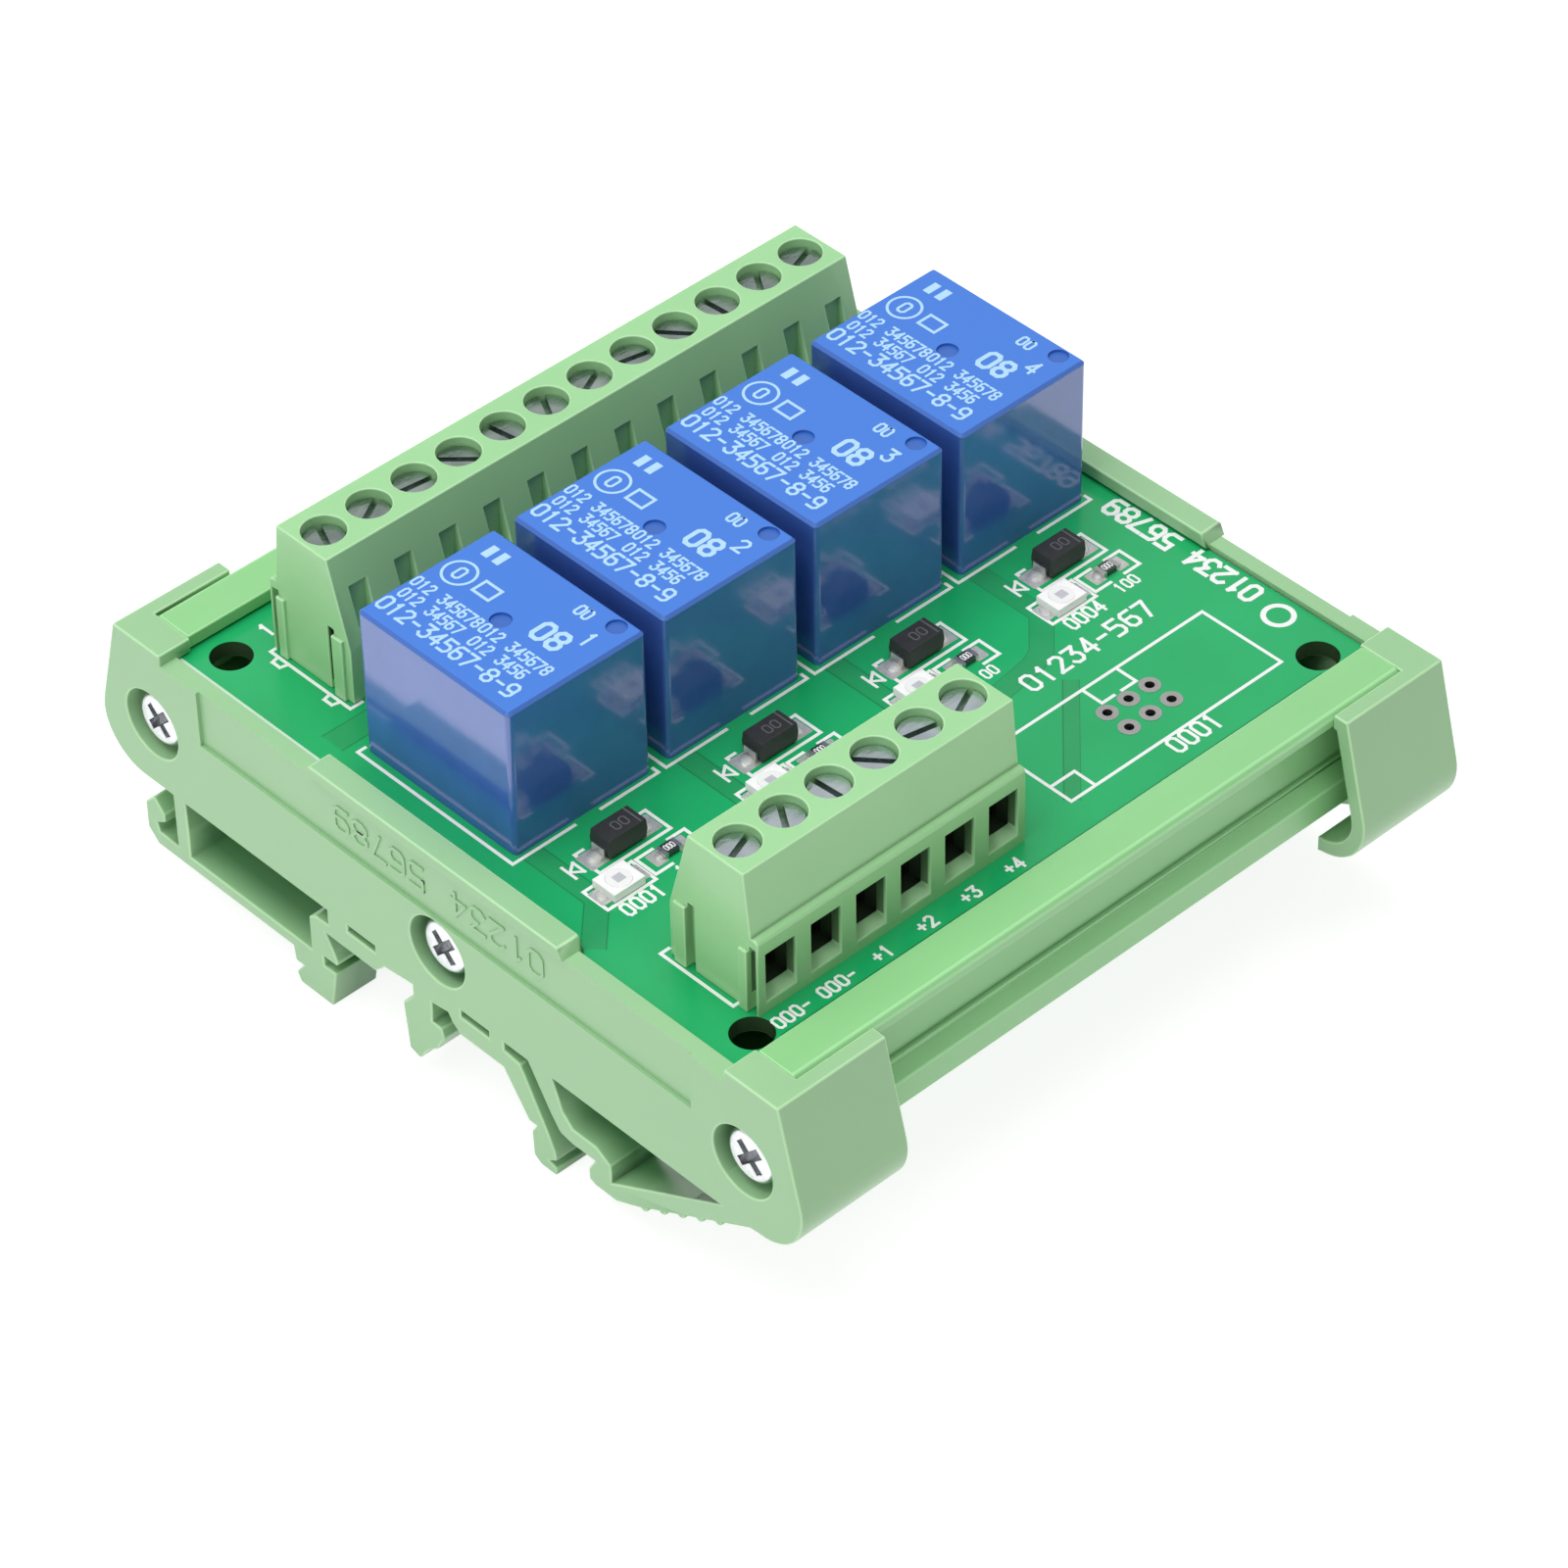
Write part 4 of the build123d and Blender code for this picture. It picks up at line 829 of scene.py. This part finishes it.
# plain numbers beside the parts and along the terminals
boardNumbers = {
    "lamp": {"spot": (-5.7, -15.7), "style": {"high": 1.45, "wide": 0.5, "gap": 0.27, "width": 0.28}},
    "resistor": {"spot": (0.85, -15.1), "style": {"high": 1.15, "wide": 0.5, "gap": 0.26, "width": 0.22}},
    "poles": {
        "texts": ("000-", "000-", "+1", "+2", "+3", "+4"),
        "first": -29.3,
        "pitch": 5.08,
        "level": -34.1,
        "halfFigure": 0.5,
        "lead": 0.2,
        "style": {"high": 1.25, "wide": 0.54, "gap": 0.28, "width": 0.26},
    },
    "alone": (
        ("0001", (15.9, -33.3), {"high": 1.85, "wide": 0.53, "gap": 0.26, "width": 0.32}),
        ("1", (-29.5, 32.6), {"high": 1.6, "width": 0.3}),
        ("01234-567", (12.75, -19.05), {"high": 2.0, "wide": 0.57, "gap": 0.3, "width": 0.34}),
        ("01234 56789", (36.55, -23.6), {"high": 2.1, "turn": 90, "wide": 0.56, "gap": 0.23, "width": 0.44}),
    ),
    "ring": ((35.0, -26.8), 1.35, 0.5),
}
marks = []
for number, x in enumerate(relayPlaces, start=1):
    for text, part in ((f"000{number}", boardNumbers["lamp"]), ("100", boardNumbers["resistor"])):
        marks += figures(text, (x + part["spot"][0], part["spot"][1]), **part["style"])
poles = boardNumbers["poles"]
for n, text in enumerate(poles["texts"]):
    start = poles["first"] + n * poles["pitch"] - poles["halfFigure"] * len(text) - poles["lead"]
    marks += figures(text, (start, poles["level"]), **poles["style"])
for text, spot, style in boardNumbers["alone"]:
    marks += figures(text, spot, **style)
marks += ring(*boardNumbers["ring"])
layStrokes("boardNumbers", marks, onBoard, boardInk)

# etched channels between the copper fields, showing darker under the mask, with a darker rim on either side;
# the band along the front lip is partly painted shadow of the lip
channelPrint = {
    # beside the last relay; the others repeat it as far as the board reaches
    "corner": ((20.4, -5.0), (20.4, -12.3), (16.9, -15.8), (15.2, -16.5), (11.5, -17.0)),
    "cornerWidth": 2.1,
    "leftmost": -35.5,
    "straight": (
        (((15.5, -20.7), (12.7, -23.5), (5.6, -30.6)), 1.4),
        # partly a bare channel, partly painted shadow of the lip
        (((-31.2, -35.4), (31.2, -35.4)), 1.5),
        (((-33.4, 18.0), (33.4, 18.0)), 2.6),
    ),
    "thick": 0.004,
    "rimWidth": 0.13,
    "rimThick": 0.006,
}
channels = []
for x in relayPlaces:
    shifted = [(px + x - relayPlaces[-1], py) for px, py in channelPrint["corner"]]
    points = [point for point in shifted if point[0] > channelPrint["leftmost"]]
    channels.append((points, channelPrint["cornerWidth"]))
channels += channelPrint["straight"]
fields = [(points, width, False) for points, width in channels]
rims = []
for points, width in channels:
    rims += [(side, channelPrint["rimWidth"], False) for side in zip(*ribbonEdges(points, width))]
layStrokes("boardChannels", fields, onBoard, channelMask, thick=channelPrint["thick"])
layStrokes("channelRims", rims, onBoard, rimMask, thick=channelPrint["rimThick"])
print("board printed")

# relay tops: plain numbers and simple marks, read along the case's long side
relayPrint = {
    # text, foot of the row and where it starts, height, width of a figure as a share of it, width of the line
    "rows": (
        ("012-34567-8-9", -6.15, 8.9, 1.6, 0.56, 0.29),
        ("012 34567", -3.95, 8.6, 1.15, 0.48, 0.22),
        ("012 3456", -3.95, -0.2, 1.15, 0.48, 0.22),
        ("012 345678", -2.2, 9.0, 1.15, 0.48, 0.22),
        ("012 345678", -2.2, 0.4, 1.15, 0.48, 0.22),
        ("00", 5.0, -3.4, 1.2, 0.5, 0.24),
        ("08", 0.45, -3.0, 2.2, 0.55, 0.46),
    ),
    "gap": 0.26,
    "ring": ((1.6, 7.0), 1.55, 0.26),
    "inRing": ("0", 0.9, 7.35, 1.4, 0.55, 0.26),
    "square": ((0.9, 4.6), (0.9, 2.6), (2.5, 2.6), (2.5, 4.6)),
    "squareLine": 0.3,
    "blocks": ((5.3, 7.3, 1.6, 0.8), (5.3, 5.9, 1.6, 0.8)),
    "number": {"spot": (2.7, -6.6), "high": 1.6, "width": 0.28},
    "thick": 0.012,
}
onRelay = layout((0, 0, relayTop))
for number, x in enumerate(relayPlaces, start=1):
    marks = []
    for text, foot, start, high, wide, width in relayPrint["rows"]:
        marks += figures(text, (foot, start), high, turn=-90, wide=wide, gap=relayPrint["gap"], width=width)
    marks += ring(*relayPrint["ring"])
    text, foot, start, high, wide, width = relayPrint["inRing"]
    marks += figures(text, (foot, start), high, turn=-90, wide=wide, width=width)
    marks += line(relayPrint["square"], relayPrint["squareLine"], closed=True)
    for spot in relayPrint["blocks"]:
        marks += block(*spot)
    marks += figures(str(number), turn=-90, **relayPrint["number"])
    placed = []
    for points, width, closed in marks:
        placed.append(([(px + x, py + relayCentreY) for px, py in points], width, closed))
    layStrokes(f"relay_{number}_print", placed, onRelay, relayInk, thick=relayPrint["thick"])
print("relays printed")

# raised plain numbers on the outer panel of each foot, upside down as moulded
footPanel = {
    "x": 38.9,
    "level": 24.7,
    "texts": (("01234", -13.4), ("56789", 1.6)),
    "style": {"high": 2.5, "wide": 0.68, "gap": 0.28, "width": 0.3},
    "raised": 0.12,
}
for footName, side in (("foot_left", -1), ("foot_right", 1)):
    onPanel = layout((side * footPanel["x"], 0, footPanel["level"]), (0, -side, 0), (0, 0, -1))
    marks = []
    for text, start in footPanel["texts"]:
        marks += figures(text, (start, 0), **footPanel["style"])
    layStrokes(footName + "_numbers", marks, onPanel, footGreen, footPanel["raised"])
print("feet numbered")


# solder of the surface-mounted parts: a flat pad and a mound against each lead
solderPad = {"thick": 0.03, "corner": 0.15, "segments": 2, "moundAround": 16, "moundUp": 10, "level": 0.999}


def solderPads(name, spots):
    form = bmesh.new()
    scale = Matrix.Scale(mm, 4)
    for padSpot, padSize, moundSpot, moundSize in spots:
        place = Matrix.Translation((*padSpot, boardTop + solderPad["thick"] / 2))
        pad = place @ Matrix.Diagonal((*padSize, solderPad["thick"], 1))
        made = bmesh.ops.create_cube(form, size=1, matrix=scale @ pad)
        edges = dict.fromkeys(edge for corner in made["verts"] for edge in corner.link_edges)
        halfThick = solderPad["thick"] / 2 * mm
        upright = [edge for edge in edges if abs((edge.verts[0].co - edge.verts[1].co).z) > halfThick]
        bmesh.ops.bevel(form, geom=upright, offset=solderPad["corner"] * mm, segments=solderPad["segments"],
                        profile=0.5, affect="EDGES", material=-1)
        mound = Matrix.Translation((*moundSpot, boardTop)) @ Matrix.Diagonal((*moundSize, 1))
        bmesh.ops.create_uvsphere(form, u_segments=solderPad["moundAround"], v_segments=solderPad["moundUp"],
                                  radius=1, matrix=scale @ mound)
    for face in form.faces:
        face.smooth = abs(face.normal.z) < solderPad["level"]
    addPiece(name, meshFrom(form, name), solderTin)


# each part's middle, measured across from its relay's, and how far its pads and mounds lie from there
solderSpots = {
    "diode": {
        "middle": (-0.3, -8.4),
        "pad": (2.3, 2.2),
        "padReach": 2.85,
        "mound": (0.75, 0.85, 0.45),
        "moundReach": 2.75,
    },
    "led": {
        "middle": (-3.85, -12.3),
        "pad": (1.3, 2.0),
        "padReach": 2.05,
        "mound": (0.4, 0.7, 0.22),
        "moundReach": 2.05,
    },
    "resistor": {
        "middle": (2.0, -12.1),
        "pad": (1.3, 1.7),
        "padReach": 1.4,
        "mound": (0.4, 0.5, 0.3),
        "moundReach": 1.2,
    },
}
for kind, part in solderSpots.items():
    spots = []
    for x in relayPlaces:
        middle, y = x + part["middle"][0], part["middle"][1]
        for side in (-1, 1):
            padSpot = (middle + side * part["padReach"], y)
            moundSpot = (middle + side * part["moundReach"], y)
            spots.append((padSpot, part["pad"], moundSpot, part["mound"]))
    solderPads(f"{kind}_solder", spots)

# lamp dies, resistor values and diode marks, across from each relay's middle and on the height of their parts
smallPrint = {
    "die": {"level": 0.9, "spot": (-3.85, -12.3), "size": (0.95, 0.9)},
    "value": {
        "level": 0.55,
        "spot": (1.55, -12.4),
        "style": {"high": 0.62, "wide": 0.4, "gap": 0.16, "width": 0.09},
    },
    "mark": {
        "level": 2.2,
        "spot": (-0.95, -8.95),
        "style": {"high": 1.0, "wide": 0.62, "gap": 0.3, "width": 0.13},
    },
    "band": {"x": 1.25, "from": -9.45, "to": -7.35, "width": 0.16},
    "thick": 0.01,
}
die, value, mark, band = (smallPrint[key] for key in ("die", "value", "mark", "band"))
dies, values, letters = [], [], []
for x in relayPlaces:
    dies += block(x + die["spot"][0], die["spot"][1], *die["size"])
    values += figures("000", (x + value["spot"][0], value["spot"][1]), **value["style"])
    letters += figures("00", (x + mark["spot"][0], mark["spot"][1]), **mark["style"])
    letters += line([(x + band["x"], band["from"]), (x + band["x"], band["to"])], band["width"])
layStrokes("lampDies", dies, layout((0, 0, boardTop + die["level"])), dieGrey)
layStrokes("resistorValues", values, layout((0, 0, boardTop + value["level"])), boardInk, smallPrint["thick"])
layStrokes("diodeMarks", letters, layout((0, 0, boardTop + mark["level"])), greyInk, smallPrint["thick"])

# a pale line along the board's left and right edges
paleLine = {"x": 36.88, "back": 35.6, "front": 17.0, "width": 0.26, "thick": 0.01}
edges = []
for x in (-paleLine["x"], paleLine["x"]):
    edges += line([(x, paleLine["back"]), (x, paleLine["front"])], paleLine["width"])
layStrokes("paleLines", edges, onBoard, paleLineTone, paleLine["thick"])
print("small parts dressed")

# camera from the solved viewpoint
viewpoint = {
    "place": (-279.24, -302.64, 351.19 + boardTop),
    "right": (0.72515, -0.68845, -0.01415),
    "down": (-0.46512, -0.47456, -0.7473),
    "forward": (0.50776, 0.54849, -0.66434),
    "lens": 143.894,
    "sensor": 36.0,
    "reach": (0.01, 20.0),
}
cameraData = bpy.data.cameras.new("camera")
cameraData.lens = viewpoint["lens"]
cameraData.sensor_width = viewpoint["sensor"]
cameraData.clip_start, cameraData.clip_end = viewpoint["reach"]
camera = inScene("camera", cameraData)
right, down, forward = (Vector(viewpoint[key]).normalized() for key in ("right", "down", "forward"))
turn = Matrix((right, -down, -forward)).transposed().to_4x4()
camera.matrix_world = Matrix.Translation(Vector(viewpoint["place"]) * mm) @ turn
bpy.context.scene.camera = camera

# floor that shows white but keeps the soft shadow
white = rgb(1, 1, 1)
stageLook = {"size": 6.0, "floor": rgb(0.9, 0.9, 0.9), "lift": 0.66, "seen": 1.3, "mirrored": 1.9}
form = bmesh.new()
bmesh.ops.create_grid(form, x_segments=1, y_segments=1, size=stageLook["size"])
floor = inScene("floor", meshFrom(form, "floor"))
paint = Finish(bpy.data.materials.new("floorWhite"))
rays = ("Is Camera Ray", "Is Glossy Ray", "Is Transmission Ray")
seen, mirrored, through = (paint.node("ShaderNodeLightPath", output=ray) for ray in rays)
paper = paint.node("ShaderNodeBsdfDiffuse", inputs={"Color": stageLook["floor"]})
bright = paint.node("ShaderNodeEmission", inputs={"Color": white, "Strength": stageLook["seen"]})
sheen = paint.node("ShaderNodeEmission", inputs={"Color": white, "Strength": stageLook["mirrored"]})
share = ((seen + mirrored + through) * stageLook["lift"]).clamped()
floor.data.materials.append(paint.finishWith(paint.mixed(share, paper, paint.mixed(seen, sheen, bright))))
floor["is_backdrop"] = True

# sky: soft light on the object, white to the camera, and duller where it's mirrored
skyLook = {"lit": 0.36, "seen": 1.0, "mirrored": 0.62}
world = bpy.data.worlds.new("studio")
bpy.context.scene.world = world
sky = Finish(world)
seen, mirrored = (sky.node("ShaderNodeLightPath", output=ray) for ray in rays[:2])
levels = {key: {"Color": white, "Strength": strength} for key, strength in skyLook.items()}
shades = {key: sky.node("ShaderNodeBackground", inputs=level) for key, level in levels.items()}
plain = sky.mixed(seen, shades["lit"], shades["seen"])
sky.finishWith(sky.mixed(mirrored, plain, shades["mirrored"]), "ShaderNodeOutputWorld")

# soft lamps in metres and watts, turned to the object
lampAim = Vector((0, 0, 0.02))
lamps = {
    "topSoftbox": {"place": (-0.10, 0.05, 0.75), "size": 0.7, "power": 5.4, "mirrored": False},
    "leftSoftbox": {"place": (-0.75, -0.05, 0.40), "size": 0.5, "power": 1.3, "mirrored": True},
}
for lampName, lamp in lamps.items():
    light = bpy.data.lights.new(lampName, "AREA")
    light.shape = "SQUARE"
    light.size = lamp["size"]
    light.energy = lamp["power"]
    holder = inScene(lampName, light)
    holder.location = lamp["place"]
    holder.visible_glossy = lamp["mirrored"]
    holder.rotation_euler = (lampAim - Vector(lamp["place"])).to_track_quat("-Z", "Y").to_euler()

bpy.context.scene.view_settings.view_transform = "Standard"
print("stage set")

low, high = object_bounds()
